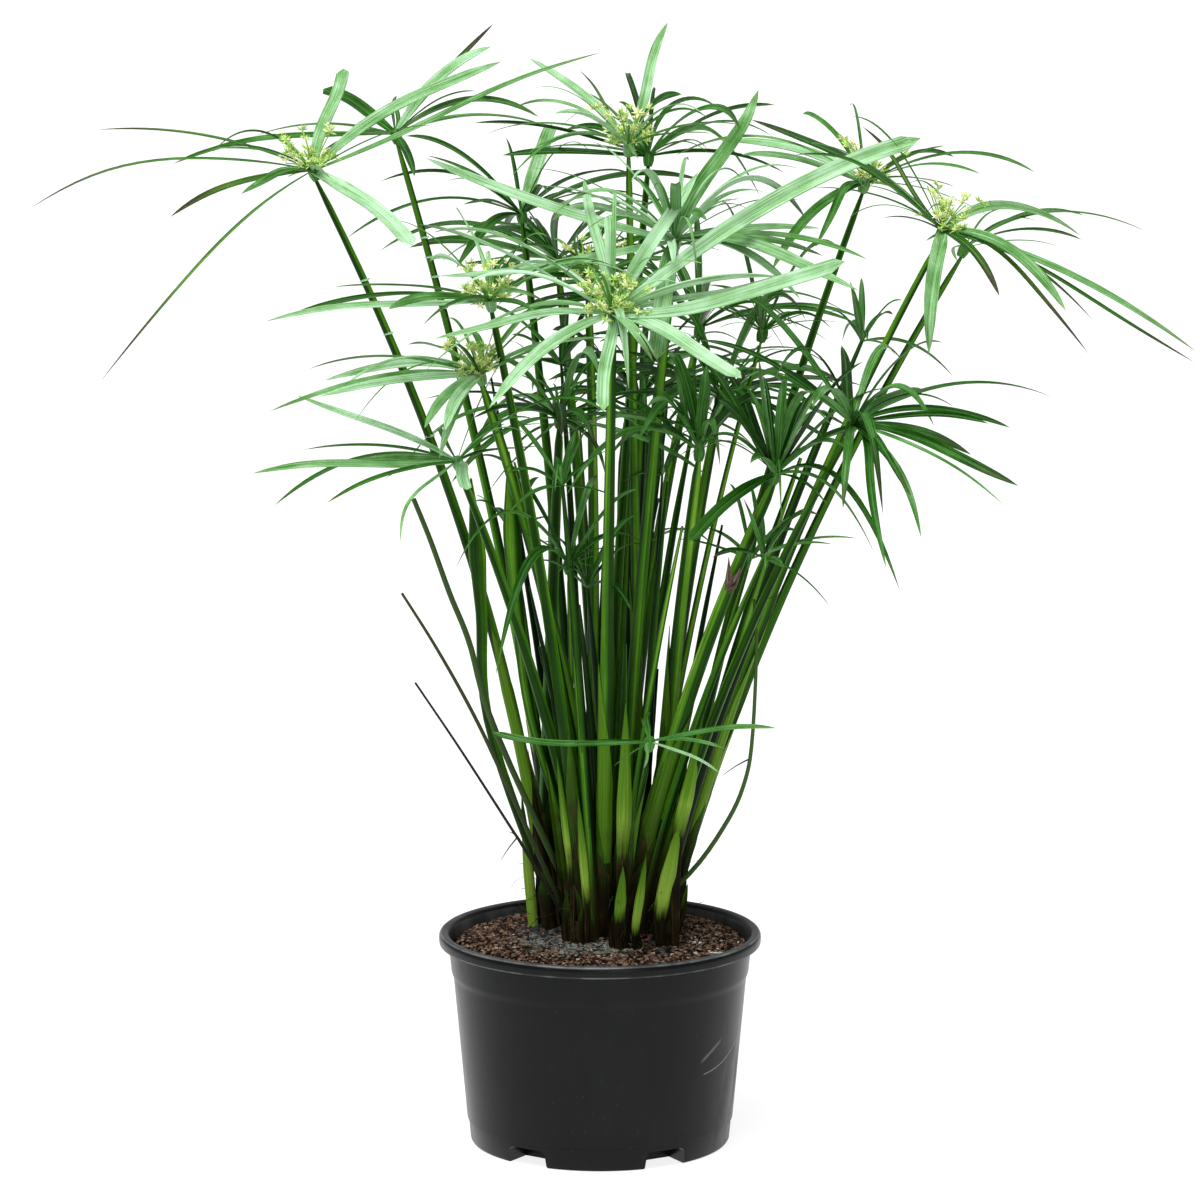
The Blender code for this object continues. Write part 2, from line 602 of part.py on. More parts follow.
def set_blades(index, plan, taken):
    """The bracts that are placed by hand; each is lengthened or shortened in depth until it is clear."""
    blades = []
    for bract in plan.bracts:
        tries = []
        for stretch in LENGTH_TRIALS:
            tip = seen_tip(plan.hub, bract, stretch)
            face = (UP + Vector((0.0, -FACE_LEAN, 0.0))).normalized()
            line = bract_line(plan.hub, tip, UP * bract.arch, LONG_STEPS)
            blade = Blade(line, LONG_STEPS, bract.width, face, math.atan2(tip.y, tip.x))
            tries.append((min(taken.room(blade.line, blade.radii(), index), CLEAR), -len(tries), blade))
        room, _, blade = max(tries, key=lambda entry: entry[:2])
        if room >= GAP:
            taken.add(blade.line, blade.radii(), index)
            blades.append(blade)
    return blades


def fill_blades(index, plan, axis, blades, taken, chance):
    """Bracts that complete the whorl in the widest gaps between those already there."""
    azimuths = [b.azimuth for b in blades] or [chance.uniform(0, math.pi)]
    while len(blades) < plan.count:
        middle, span = widest_gap(azimuths)
        if span < NARROWEST:
            break
        length = plan.reach * chance.uniform(*FILL_LENGTH)
        width = plan.width * chance.uniform(*FILL_WIDTH)
        lift = plan.lift + chance.uniform(*FILL_LIFT)
        arch = length * chance.uniform(*FILL_ARCH)
        sway = length * chance.uniform(*FILL_SWAY)
        roll = chance.uniform(*FILL_ROLL)
        turned_by = chance.uniform(*FILL_TURN) * span
        tries = []
        for nudge_lift in LIFT_TRIALS:
            for nudge_turn in TURN_TRIALS:
                azimuth = middle + turned_by + math.radians(nudge_turn)
                tip = swung_tip(axis, azimuth, math.radians(lift + nudge_lift), length)
                side = UP.cross(tip).normalized()
                face = (UP + side * roll).normalized()
                line = bract_line(plan.hub, tip, UP * arch + side * sway, SHORT_STEPS)
                blade = Blade(line, SHORT_STEPS, width, face, azimuth)
                tries.append((min(taken.room(blade.line, blade.radii(), index), CLEAR), -len(tries), blade))
                if tries[-1][0] >= CLEAR:
                    break
            if tries[-1][0] >= CLEAR:
                break
        room, _, blade = max(tries, key=lambda entry: entry[:2])
        azimuths.append(middle)
        if room >= GAP:
            taken.add(blade.line, blade.radii(), index)
            blades.append(blade)
        if len(azimuths) > 3 * plan.count:
            break
    return blades


def socket_angles(blades, axis):
    """Where each bract leaves the hub: in order round it, eased apart so that the sockets don't meet."""
    side = axis.cross(Vector((0.0, 1.0, 0.0))).normalized()
    front = axis.cross(side)

    def angle(blade):
        run = blade.line[1] - blade.line[0]
        return math.atan2(run.dot(front), run.dot(side)) % (2 * math.pi)

    ordered = sorted(blades, key=angle)
    angles = [angle(b) for b in ordered]
    least = 2 * math.pi / len(ordered) * SOCKET_EASE
    for _ in range(EASE_ROUNDS):
        for i in range(len(angles)):
            following = (i + 1) % len(angles)
            span = angles[following] - angles[i] + (2 * math.pi if following == 0 else 0.0)
            if span < least:
                shift = (least - span) / 2
                angles[i] -= shift
                angles[following] += shift
    return ordered, angles, side, front


def make_umbel(index, plan, axis, blades, taken):
    """The hub, the bracts fused to it and, where it flowers, a tuft of flower stalks."""
    ordered, angles, side, front = socket_angles(blades, axis)
    spacing = min((b - a) % (2 * math.pi) for a, b in zip(angles, angles[1:] + angles[:1]))
    half = min(math.asin(SOCKET_WIDTH / 2 / HUB_RADIUS), spacing * SOCKET_SHARE)
    verts = []
    faces = []
    sockets = []

    def add(point):
        verts.append(point)
        return len(verts) - 1

    def around(angle, radius, height):
        return plan.hub + (side * math.cos(angle) + front * math.sin(angle)) * radius + axis * height

    crown = add(plan.hub + axis * HUB_CROWN)
    for blade, angle in zip(ordered, angles):
        ring = (add(around(angle + half, HUB_RADIUS, 0.0)), add(around(angle - half, HUB_RADIUS, 0.0)),
                add(around(angle, HUB_RADIUS * 0.8, -HUB_DEPTH)))
        sockets.append(ring)
        for i in range(1, len(blade.line) - 1):
            run = (blade.line[i + 1] - blade.line[i - 1]).normalized()
            face = (blade.face - run * blade.face.dot(run)).normalized()
            left = face.cross(run)
            centre = blade.line[i]
            width = blade.widths[i]
            following = (add(centre + left * width / 2), add(centre - left * width / 2),
                         add(centre - face * width * KEEL_SHARE))
            faces.append((ring[0], ring[1], following[1], following[0]))
            faces.append((ring[0], following[0], following[2], ring[2]))
            faces.append((ring[1], ring[2], following[2], following[1]))
            ring = following
        tip = add(blade.line[-1])
        faces.append((ring[0], ring[1], tip))
        faces.append((ring[0], tip, ring[2]))
        faces.append((ring[1], ring[2], tip))
    count = len(sockets)
    for k in range(count):
        here = sockets[k]
        there = sockets[(k + 1) % count]
        faces.append((here[2], there[2], there[1], here[0]))
        faces.append((crown, here[1], here[0]))
        apex = flower_tip(index, plan, around, angles, k, taken) if plan.flowers else None
        if apex is None:
            faces.append((crown, here[0], there[1]))
        else:
            tip = add(apex)
            faces.append((crown, here[0], tip))
            faces.append((here[0], there[1], tip))
            faces.append((there[1], crown, tip))
    faces.append(tuple(ring[2] for ring in reversed(sockets)))
    return add_object(f"umbel_{index + 1:02d}", verts, faces, "bract")


def flower_tip(index, plan, around, angles, k, taken):
    """Tip of the flower stalk between two bracts, or none where there is no room for one."""
    if k % 2:
        return None
    span = (angles[(k + 1) % len(angles)] - angles[k]) % (2 * math.pi)
    middle = angles[k] + span / 2
    lean = 0.55 + 0.15 * (k % 4)
    for share in FLOWER_TRIALS:
        reach = FLOWER_REACH * share
        apex = around(middle, reach * lean, reach * FLOWER_RISE)
        line = [plan.hub, plan.hub.lerp(apex, 0.4), apex]
        if taken.room(line, FLOWER_RADII, index) >= GAP:
            taken.add(line, FLOWER_RADII, index)
            return apex
    return None


def make_plant():
    taken = Clearances()
    chance = random.Random(7)
    stems = grow_upright_pieces(taken)
    whorls = [set_blades(i, plan, taken) for i, plan in enumerate(UMBELS)]
    for index, plan in enumerate(UMBELS):
        axis = stems[index].end_axis
        blades = fill_blades(index, plan, axis, whorls[index], taken, chance)
        make_umbel(index, plan, axis, blades, taken)


def main():
    for thing in list(bpy.data.objects):
        bpy.data.objects.remove(thing, do_unlink=True)
    make_pot()
    make_soil()
    make_rootstock("rootstock")
    make_plant()


main()
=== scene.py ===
"""The looks of a potted umbrella sedge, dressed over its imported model. Lengths are in metres."""

import random
from math import copysign, cos, dist, exp, hypot, pi, radians, sin, sqrt

import bmesh
import bpy
import numpy as np
from mathutils import Matrix, Vector


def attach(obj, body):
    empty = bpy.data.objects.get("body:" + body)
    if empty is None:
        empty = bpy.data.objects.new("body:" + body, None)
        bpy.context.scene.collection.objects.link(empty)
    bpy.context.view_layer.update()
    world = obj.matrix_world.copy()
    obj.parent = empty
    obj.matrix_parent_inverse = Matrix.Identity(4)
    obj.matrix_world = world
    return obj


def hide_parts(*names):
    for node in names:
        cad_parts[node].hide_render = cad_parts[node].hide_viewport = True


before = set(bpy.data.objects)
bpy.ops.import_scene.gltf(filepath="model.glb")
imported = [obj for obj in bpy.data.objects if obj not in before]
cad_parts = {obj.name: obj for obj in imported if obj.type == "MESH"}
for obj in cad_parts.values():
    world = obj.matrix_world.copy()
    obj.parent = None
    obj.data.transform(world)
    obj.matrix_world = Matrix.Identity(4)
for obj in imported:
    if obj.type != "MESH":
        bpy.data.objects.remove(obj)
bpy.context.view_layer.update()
bpy.ops.object.select_all(action="DESELECT")

chance = random.Random(11)
draw = chance.uniform
pick = chance.choice
UP = Vector((0, 0, 1))
BACK = Vector((0, 1, 0))
FRONT = (0, -1, 0)
CREASE = radians(38)            # edges sharper than this stay sharp
WELD = 2e-6                     # corners of a CAD node nearer than this are one
LEVEL = 1e-5                    # places nearer than this along an axis are level
SOCKET_REACH = 0.009            # a ring nearer than this to the crown is a bract's socket
STEPS = np.linspace(0, 1, 33)   # shares along a line at which it has points
GOLDEN = 2.39996                # the golden angle
ROUND = 2 * pi                  # a full turn

# Camera
EYE = Vector((0, -3.748, 1.0388))
LOOK = radians(9.5)             # how far it looks down

# Pot
NOTCHES = 5
NOTCH_TURN = radians(-60)
NOTCH_STEP = radians(74)
# Where painted highlights run: the height of the lip's lower edge and the reach of the brim's
LIP_EDGE = 0.152
BRIM_EDGE = 0.1196
# Its section from the middle of its underside, out, up over the lip and down inside to its floor
POT_SECTION = (
    (0.095, 0), (0.0966, 0.0006), (0.0976, 0.0022), (0.099, 0.0168), (0.0991, 0.0172), (0.0999, 0.0177),
    (0.1001, 0.0186), (0.1099, 0.1245), (0.1101, 0.1258), (0.1105, 0.1272), (0.1113, 0.1294),
    (0.1117, 0.1308), (0.1119, 0.1322), (0.1131, 0.145), (0.1136, 0.1554), (0.115, 0.1564),
    (0.1182, 0.1562), (0.1186, 0.1552), (0.1187, 0.1526), (0.1191, 0.1518), (0.1198, 0.1515),
    (0.1205, 0.1518), (0.1208, 0.1527), (0.121, 0.156), (0.1208, 0.1578), (0.1201, 0.1592),
    (0.119, 0.1601), (0.1176, 0.1605), (0.116, 0.1604), (0.1146, 0.1598), (0.1135, 0.1588),
    (0.1128, 0.1574), (0.1119, 0.155), (0.1101, 0.133), (0.1096, 0.131), (0.1084, 0.1275),
    (0.108, 0.1255), (0.0944, 0.004), (0.0938, 0.0025))

# Soil and clump
SOIL_EDGE = 0.1485
SOIL_RADIUS = 0.1102
SOIL_RISE = 0.0032              # how far it rises from the wall, besides its mound
SOIL_MOUND = 0.0057             # the height of its mound round the clump
SOIL_DIP = 0.0022               # how far it falls again beside the wall
CLUMP = Vector((0.007, 0.025, 0))
ROOT_RADIUS = 0.062
CROWN_TOP = 0.1592
GROUND = 0.154                  # the height, just inside the soil, that strips and blades start from
CHIP = (0.086, -0.044)          # a pale flat chip on the soil
# What lies on the soil: its dark, middle and light colour, and how rough it is
LITTER_LOOKS = (
    ("peat_crumb", (0.008, 0.004, 0.003), (0.056, 0.027, 0.016), (0.27, 0.165, 0.11)),
    ("bark_fleck", (0.06, 0.04, 0.026), (0.23, 0.17, 0.12), (0.48, 0.4, 0.31)),
    ("black_gravel", (0.004, 0.005, 0.005), (0.014, 0.016, 0.017), (0.05, 0.055, 0.058), 0.5),
    ("grey_grit", (0.016, 0.02, 0.017), (0.062, 0.074, 0.062), (0.23, 0.255, 0.225)),
    ("perlite", (0.42, 0.41, 0.39), (0.64, 0.63, 0.61), (0.85, 0.84, 0.82)))

# Stems, by number
NUMBERS = range(1, 26)
THIN_STEMS = (17, 18, 19)       # thin ones with small whorls, that no growth is drawn beside
STEM_TONES = {1: 0.46, 2: 0.46, 3: 0.44, 6: 0.36, 7: 0.42, 9: 0.46, 10: 0.46, 11: 0.36, 12: 0.42, 13: 0.56,
              14: 0.6, 17: 0.36, 19: 0.6, 21: 0.5, 22: 0.32, 23: 0.45}
FLARES = {22: (4, 0.4)}         # stems that are broad and flat below their whorl: how broad and how flat
TORN_SHEATH = (101, 18)         # where a torn dry sheath is seen from the front, in mm
# Small pale scales that cross the two outer stems on the left, seen from the front, in mm
SCARS = {1: [(-180, 231.6), (-173, 213.2), (-165, 189.8), (-152.4, 164.9), (-131.9, 116.5)],
         2: [(-128.2, 266), (-123.8, 252.8), (-120.2, 238.2), (-116.5, 226.4), (-112.1, 215.4)]}
# Fresh young blades at the foot of the clump: where each turns green, its point, its width, and how light
# it is there and at its point
FOOT_BLADES = (((-0.0506, 0.024, 0.158), (-0.059, 0.016, 0.262), 0.0085, 0.95, 0.15),
               ((-0.021, -0.025, 0.204), (-0.032, -0.034, 0.3), 0.0065, 0.75, 0.25),
               ((-0.0102, -0.03, 0.188), (-0.0165, -0.036, 0.272), 0.0065, 0.8, 0.15),
               ((0.0168, -0.034, 0.215), (0.019, -0.044, 0.342), 0.0115, 0.68, 0.4),
               ((0.0139, -0.04, 0.175), (0.0172, -0.041, 0.218), 0.0085, 0.62, 0.3),
               ((0.0262, -0.038, 0.171), (0.0342, -0.036, 0.226), 0.007, 0.8, 0.2),
               ((0.045, -0.027, 0.18), (0.0592, -0.031, 0.25), 0.0125, 0.9, 0.4),
               ((0.056, -0.027, 0.224), (0.0762, -0.035, 0.332), 0.011, 0.72, 0.2))
STALK_TONES = {1: 0.75, 2: 0.55, 3: 0.1, 4: 0.8}
# Stubs of twigs on the bare stalks: how far up, which way they run, and how thick they are
TWIGS = {3: [(0.36, (-0.012, -0.004, -0.016), 0.0007), (0.4, (-0.007, -0.003, 0.004), 0.0005)],
         4: [(0.97, (0.018, -0.002, 0.01), 0.0007), (0.62, (-0.02, -0.002, -0.012), 0.0007)]}

# Whorls, by number
HERO = 7                        # the one in front
TIP_MATCH = 9                   # how near in mm a bract's tip has to be to the one in its listed look
BRACT_BASE = 0.34               # a bract's width at the hub, against its full width
FLOWERING = (1, 3, 4, 7, 9, 10, 16, 20)
FINE_BRACTS = {1: 1, 2: 1, 3: 4, 4: 4, 5: 7, 6: 5, 7: 9, 8: 12, 9: 2, 10: 1, 11: 2, 12: 3, 13: 5, 14: 7,
               15: 3, 16: 4, 17: 0, 18: 4, 19: 5, 20: 6, 21: 8, 22: 8, 23: 8, 24: 6, 25: 5}
# Broad bracts of the inner whorls that curve every way and fill the middle of the plant
INNER_BRACTS = {5: 2, 7: 4, 8: 8, 12: 5, 13: 11, 14: 12, 18: 4, 19: 6, 21: 7, 22: 8, 23: 7, 24: 5, 25: 3}
# How light each whorl is, from 0, deep green, to 1, pale mint: partly its own tone and partly painted light,
# the pale mint a painted sky sheen on the upper and front whorls, the deep green painted shade in the middle of
# the plant
TONES_WITH_PAINTED_LIGHT = {1: 0.56, 2: 0.46, 3: 0.74, 4: 0.66, 5: 0.46, 6: 0.42, 7: 0.9, 8: 0.82, 9: 0.54, 10: 0.54, 11: 0.44,
         12: 0.36, 13: 0.42, 14: 0.4, 15: 0.62, 16: 0.68, 17: 0.45, 18: 0.32, 19: 0.38, 20: 0.52, 21: 0.4,
         22: 0.38, 23: 0.4, 24: 0.38, 25: 0.4}
# Those whose other bracts are narrower than usual, and by how much
SLIM = {1: 0.8, 2: 0.8, 9: 0.65, 10: 0.65, 11: 0.75, 15: 0.6, 16: 0.8, 20: 0.75}
# Bracts with a look of their own: where the tip is seen from the front, across and up from the hub in mm,
# how light it is with its painted sheen and shade, how dry its tip is, its breadth against the CAD model's, and
# True if it ends bluntly
BRACT_LOOKS = {
    1: [(-208, -27, 0.32, 0.9, 0.5), (-159, 31, 0.22, 1, 0.5), (-157, -155, 0.45, 1, 0.5),
        (-105, -33, 0.25, 0.9, 0.8), (-53, -16, 0.45, 0.3, 1), (22, 76, 0.72, 0, 1, True),
        (138, 81, 0.78, 0.3, 1), (73, -54, 0.92, 0, 1, True), (212, 88, 0.6, 0.5, 0.9)],
    2: [(-53, 34, 0.28, 0.2, 1.1, True), (-163, -21, 0.36, 0.4, 0.8), (70, 65, 0.84, 0.2, 1.1),
        (72, 82, 0.14, 1, 0.8), (1, 29, 0.3, 0.5, 0.5), (14, -30, 0.25, 0.3, 0.8),
        (-53, -11, 0.3, 0.6, 0.7)],
    3: [(-75, -5, 0.5, 0.2, 1), (-166, -14, 0.85, 0.3, 1)],
    4: [(29, 92, 0.75, 0.2, 1.1), (-73, 66, 0.82, 0.1, 1), (-36, 57, 0.1, 1, 0.5), (-54, 25, 0.88, 0.2, 1)],
    6: [(22, 67, 0.75, 0.1, 1.2, True), (-70, 44, 0.2, 0.8, 0.5), (-43, 8, 0.25, 0.6, 0.6),
        (-48, -39, 0.35, 0.4, 1)],
    7: [(227, 131, 0.88, 0, 1, True), (171, 40, 0.88, 0, 1, True), (122, 30, 0.86, 0.1, 1),
        (95, -46, 0.88, 0, 1, True), (-7, -70, 0.82, 0, 1.1, True), (63, 106, 0.92, 0, 1.1),
        (-21, 101, 0.86, 0.1, 1), (-132, -17, 0.86, 0.2, 0.9), (-91, -68, 0.88, 0, 1)],
    8: [(61, 112, 0.62, 0.1, 1.1), (-184, 62, 0.86, 0.1, 1), (135, -36, 0.75, 0.1, 1), (107, 10, 0.8, 0, 1),
        (-175, -25, 0.8, 0.2, 1)],
    9: [(-106, 33, 0.8, 0.1, 1), (-90, 22, 0.72, 0.2, 1), (-68, -63, 0.5, 0.3, 0.9),
        (-36, -46, 0.45, 0.3, 0.9)],
    10: [(-141, 83, 0.16, 0.7, 0.8), (102, -3, 0.72, 0.1, 1), (187, -88, 0.62, 0.6, 0.7),
         (186, -96, 0.2, 0.8, 0.7), (91, -58, 0.6, 0.1, 1), (108, -90, 0.14, 1, 0.7),
         (111, -65, 0.3, 0.8, 0.8), (-10, -90, 0.66, 0.4, 1.2), (42, -47, 0.2, 0.9, 0.7),
         (-59, 78, 0.12, 1, 0.7)],
    15: [(-152, -8, 0.66, 0.2, 1), (-85, -1, 0.6, 0.1, 1), (-97, -30, 0.3, 0.5, 0.8),
         (7, -20, 0.8, 0, 1.1, True), (-119, 50, 0.88, 0.2, 1)],
    16: [(-119, -15, 0.92, 0.1, 1), (-115, -3, 0.85, 0.2, 1), (-156, -26, 0.62, 0.4, 0.8),
         (-41, -38, 0.7, 0.1, 1.1), (-26, -40, 0.85, 0.1, 1.1)],
    17: [(-117, 8, 0.5, 0.1, 1.3, True), (95, 11, 0.52, 0.1, 1.2), (53, -23, 0.85, 0.2, 0.7),
         (-4, -19, 0.6, 0.2, 0.6)],
}
# Broad bracts that hang in front: whorl, tip across and up, real length in mm (below zero towards the front),
# arch, width, how light with its painted sheen and shade, how dry, and whether it ends bluntly
HANGING = ((8, -14, -88, -150, 16, 0.0125, 0.7, 0, True), (16, -30, -62, -110, 14, 0.0095, 0.72, 0.1, False),
           (12, -30, 12, -150, 20, 0.008, 0.5, 0.1, False), (13, -64, -50, -100, 8, 0.0095, 0.3, 0.1, True),
           (23, -60, -30, -140, 22, 0.009, 0.42, 0.2, False))


class Value:
    """A value in a material. Arithmetic on it adds the Math nodes that work it out."""

    def __init__(self, finish, socket):
        self.finish = finish
        self.socket = socket

    def combined(self, operation, first, second=0):
        return self.finish.node("ShaderNodeMath", {"operation": operation}, {0: first, 1: second})

    def __add__(self, other):
        return self.combined("ADD", self, other)

    def __sub__(self, other):
        return self.combined("SUBTRACT", self, other)

    def __rsub__(self, other):
        return self.combined("SUBTRACT", other, self)

    def __mul__(self, other):
        return self.combined("MULTIPLY", self, other)

    def __pow__(self, power):
        return self.combined("POWER", self, power)

    __radd__ = __add__
    __rmul__ = __mul__

    def size(self):
        return self.combined("ABSOLUTE", self)

    def swing(self, amount):
        """How far the value is from its usual one of a half, times an amount."""
        return (self - 0.5) * amount

    def ramp(self, low, high, low_value=0, high_value=1):
        """Smoothly from one value to the other as this one goes from low to high."""
        return self.finish.node("ShaderNodeMapRange", {"interpolation_type": "SMOOTHSTEP"},
                                {"Value": self, "From Min": low, "From Max": high, "To Min": low_value,
                                 "To Max": high_value})

    def fall(self, low, high, most=1):
        return self.ramp(low, high, most, 0)


def set_stops(elements, stops):
    """Gives a colour ramp its stops, each a place and a colour."""
    while len(elements) < len(stops):
        elements.new(1)
    for element, (place, colour) in zip(elements, stops):
        element.position = place
        element.color = (*colour, 1)


class Finish:
    """A material under construction."""

    def __init__(self, name, **constants):
        self.material = bpy.data.materials.new(name)
        self.material.use_nodes = True
        self.tree = self.material.node_tree
        self.shader = self.tree.nodes["Principled BSDF"]
        for socket, value in constants.items():
            self.shader.inputs[socket.replace("_", " ")].default_value = value

    def feed(self, socket, value):
        if isinstance(value, Value):
            self.tree.links.new(value.socket, socket)
        else:
            socket.default_value = value

    def node(self, kind, settings, inputs, output=0):
        """Adds a node: its type, its settings, what its sockets get, and the output wanted, or None for all."""
        made = self.tree.nodes.new(kind)
        for name, value in settings.items():
            if name == "stops":
                set_stops(made.color_ramp.elements, value)
            else:
                setattr(made, name, value)
        for key, value in inputs.items():
            self.feed(made.inputs[key], value)
        values = [Value(self, socket) for socket in made.outputs]
        return values if output is None else values[output]

    def shades(self, value, *stops):
        """A colour that follows a value through stops."""
        return self.node("ShaderNodeValToRGB", {"stops": stops}, {0: value})

    def mixed(self, share, first, second):
        """From the first colour to the second by a share."""
        colours = [c if isinstance(c, Value) else (*c, 1) for c in (first, second)]
        return self.node("ShaderNodeMix", {"data_type": "RGBA"}, {0: share, 6: colours[0], 7: colours[1]}, 2)

    def attribute(self, name):
        return self.node("ShaderNodeAttribute", {"attribute_name": name}, {}, 1)

    def place(self):
        return self.node("ShaderNodeTexCoord", {}, {}, 3)

    def parts(self, vector):
        return self.node("ShaderNodeSeparateXYZ", {}, {0: vector}, None)

    def nature(self):
        """What each point was given: how light it is, how far along its blade or stem, and how old; on the
        green stems, young culms and shoots the last is painted light and shade round the stem.
        """
        return self.parts(self.attribute("nature"))

    def noise(self, vector, scale, detail=3, roughness=0.55, stretch=(1, 1, 1)):
        vector = self.node("ShaderNodeVectorMath", {"operation": "MULTIPLY"}, {0: vector, 1: stretch})
        return self.node("ShaderNodeTexNoise", {}, {"Vector": vector, "Scale": scale, "Detail": detail,
                                                    "Roughness": roughness})

    def fibres(self, across, along, detail=3, roughness=0.55):
        """Noise drawn out along a piece."""
        return self.noise(self.attribute("grain"), 1, detail, roughness, (across, along, across))

    def cover(self, colour, roughness, height=None, strength=1, distance=0):
        """Sets the colour and the roughness, and a relief if a height is given."""
        self.feed(self.shader.inputs["Base Color"], colour)
        self.feed(self.shader.inputs["Roughness"], roughness)
        if height:
            bump = self.node("ShaderNodeBump", {},
                             {"Height": height, "Strength": strength, "Distance": distance})
            self.feed(self.shader.inputs["Normal"], bump)
        return self


def bract_finish():
    """Leafy bracts: fine veins along them, a pale midrib and dry brown tips, with a painted sky sheen on the
    lighter ones and painted shade on the darker ones.
    """
    finish = Finish("bract_green", Specular_IOR_Level=0.1, Subsurface_Weight=0.08, Subsurface_Scale=0.002,
                    Subsurface_Radius=(0.5, 1, 0.2))
    tone, along, age = finish.nature()
    across = finish.parts(finish.attribute("grain"))[0]
    veins = finish.fibres(1500, 14, 2)
    clouds = finish.noise(finish.place(), 38)
    # The pale bluish mint at the top of this ramp is a painted sheen of the sky; the deep green at its foot is
    # painted shade
    green = finish.shades(tone + veins.swing(1) + clouds.swing(0.6), (0, (0.004, 0.026, 0.001)),
                          (0.3, (0.016, 0.092, 0.003)), (0.55, (0.066, 0.205, 0.036)),
                          (0.8, (0.225, 0.42, 0.185)), (1, (0.41, 0.62, 0.4)))
    midrib = across.size().fall(0.0003, 0.0008, 0.3)
    green = finish.mixed(midrib, green, (0.13, 0.36, 0.09))
    dry = (along + age * 0.3).ramp(0.85, 1.2) * age
    straw = age.ramp(0.8, 1) * veins.ramp(0.4, 0.7) * along.ramp(0.1, 0.7)
    colour = finish.mixed(straw * 0.4, green, (0.3, 0.27, 0.05))
    colour = finish.mixed(dry, colour, (0.04, 0.022, 0.02))
    return finish.cover(colour, veins.ramp(0.2, 0.8, 0.3, 0.46), veins + midrib, 0.35, 0.0004)


def stem_finish():
    """Stems: ribbed green with painted light and shade round them and painted shade low in the clump, yellower
    and then brown towards the foot.
    """
    finish = Finish("stem_green", Specular_IOR_Level=0.08)
    # The third value is painted light and shade round the stem, lit sides and shaded ones
    tone, _, painted_side_light = finish.nature()
    height = finish.parts(finish.place())[2]
    ribs = finish.fibres(430, 4, 3, 0.6)
    clouds = finish.noise(finish.place(), 22)
    # The height term paints shade low in the clump, darker towards the foot
    light = tone + painted_side_light.swing(0.55) + ribs.swing(1.1) + clouds.swing(0.35) - height.fall(0.2, 0.42, 0.16)
    green = finish.shades(light, (0, (0.002, 0.012, 0.001)), (0.35, (0.013, 0.06, 0.002)),
                          (0.62, (0.046, 0.165, 0.006)), (0.88, (0.15, 0.36, 0.022)),
                          (1, (0.3, 0.52, 0.06)))
    foot = (height + ribs.swing(0.12) + clouds.swing(0.09)).fall(0.17, 0.27)
    brown = finish.shades(ribs, (0.3, (0.004, 0.003, 0.001)), (0.72, (0.046, 0.036, 0.008)))
    colour = finish.mixed(foot * 0.8, green, brown)
    return finish.cover(colour, ribs.ramp(0.2, 0.8, 0.3, 0.5), ribs, 0.5, 0.0006)


def sheath_finish():
    """Leaf sheaths: fresh yellow-green, or dead, brown and fibrous."""
    finish = Finish("sheath", Specular_IOR_Level=0.08)
    tone, along, age = finish.nature()
    fibres = finish.fibres(700, 6, 4, 0.65)
    clouds = finish.noise(finish.place(), 60)
    fresh = finish.shades(tone + fibres.swing(0.9), (0, (0.01, 0.046, 0.002)), (0.5, (0.08, 0.2, 0.008)),
                          (1, (0.34, 0.52, 0.07)))
    dead = finish.shades(fibres + clouds.swing(0.6), (0.3, (0.003, 0.002, 0.001)),
                         (0.55, (0.013, 0.009, 0.003)), (0.8, (0.08, 0.056, 0.018)))
    share = (age - (along - 0.45) * 0.7 + clouds.swing(0.5) + fibres.swing(1.2)).ramp(0.3, 0.8)
    return finish.cover(finish.mixed(share, fresh, dead), share.ramp(0, 1, 0.42, 0.85), fibres, 0.8, 0.0006)


def papery_finish():
    """A dry sheath: thin, pinkish brown and torn along its fibres."""
    finish = Finish("dry_sheath", Specular_IOR_Level=0.15)
    fibres = finish.fibres(900, 8, 4, 0.65)
    colour = finish.shades(fibres, (0.35, (0.035, 0.022, 0.014)), (0.65, (0.24, 0.17, 0.13)))
    return finish.cover(colour, 0.7, fibres, 0.8, 0.0006)


def stalk_finish():
    """Old bare stalks: dark olive going brown, with fine ribs."""
    finish = Finish("old_stalk", Specular_IOR_Level=0.2)
    ribs = finish.fibres(1400, 14)
    colour = finish.shades(finish.nature()[0] + ribs.swing(0.6), (0, (0.01, 0.008, 0.006)),
                           (0.5, (0.03, 0.04, 0.012)), (1, (0.05, 0.12, 0.02)))
    return finish.cover(colour, ribs.ramp(0.2, 0.8, 0.5, 0.8), ribs, 0.6, 0.0004)


def flower_finish():
    """Spikelets: pale yellow-green scales with browner edges; their rays are green."""
    finish = Finish("flower", Subsurface_Weight=0.15, Subsurface_Scale=0.0015,
                    Subsurface_Radius=(1, 0.9, 0.4))
    tone, along, _ = finish.nature()
    scales = finish.noise(finish.attribute("grain"), 1400, 2)
    colour = finish.shades(tone + scales.swing(0.5), (0, (0.12, 0.34, 0.05)), (0.45, (0.44, 0.66, 0.15)),
                           (0.8, (0.74, 0.82, 0.32)), (1, (0.88, 0.88, 0.5)))
    colour = finish.mixed(along.ramp(0.75, 1) * 0.12, colour, (0.34, 0.24, 0.08))
    return finish.cover(colour, 0.6, scales, 0.6, 0.0003)


def soil_finish(name, dark, middle, light, roughness=0.95):
    """Peaty potting mix and what lies in it."""
    finish = Finish(name, Specular_IOR_Level=0.15)
    crumbs = finish.noise(finish.place(), 420, 5, 0.7)
    patches = finish.noise(finish.place(), 45)
    shade = crumbs + patches.swing(0.5) + (finish.nature()[0] - 0.35) * 0.42
    colour = finish.shades(shade, (0.36, dark), (0.52, middle), (0.72, light))
    return finish.cover(colour, crumbs.ramp(0.2, 0.8, roughness, roughness - 0.15), crumbs, 0.9, 0.0012)


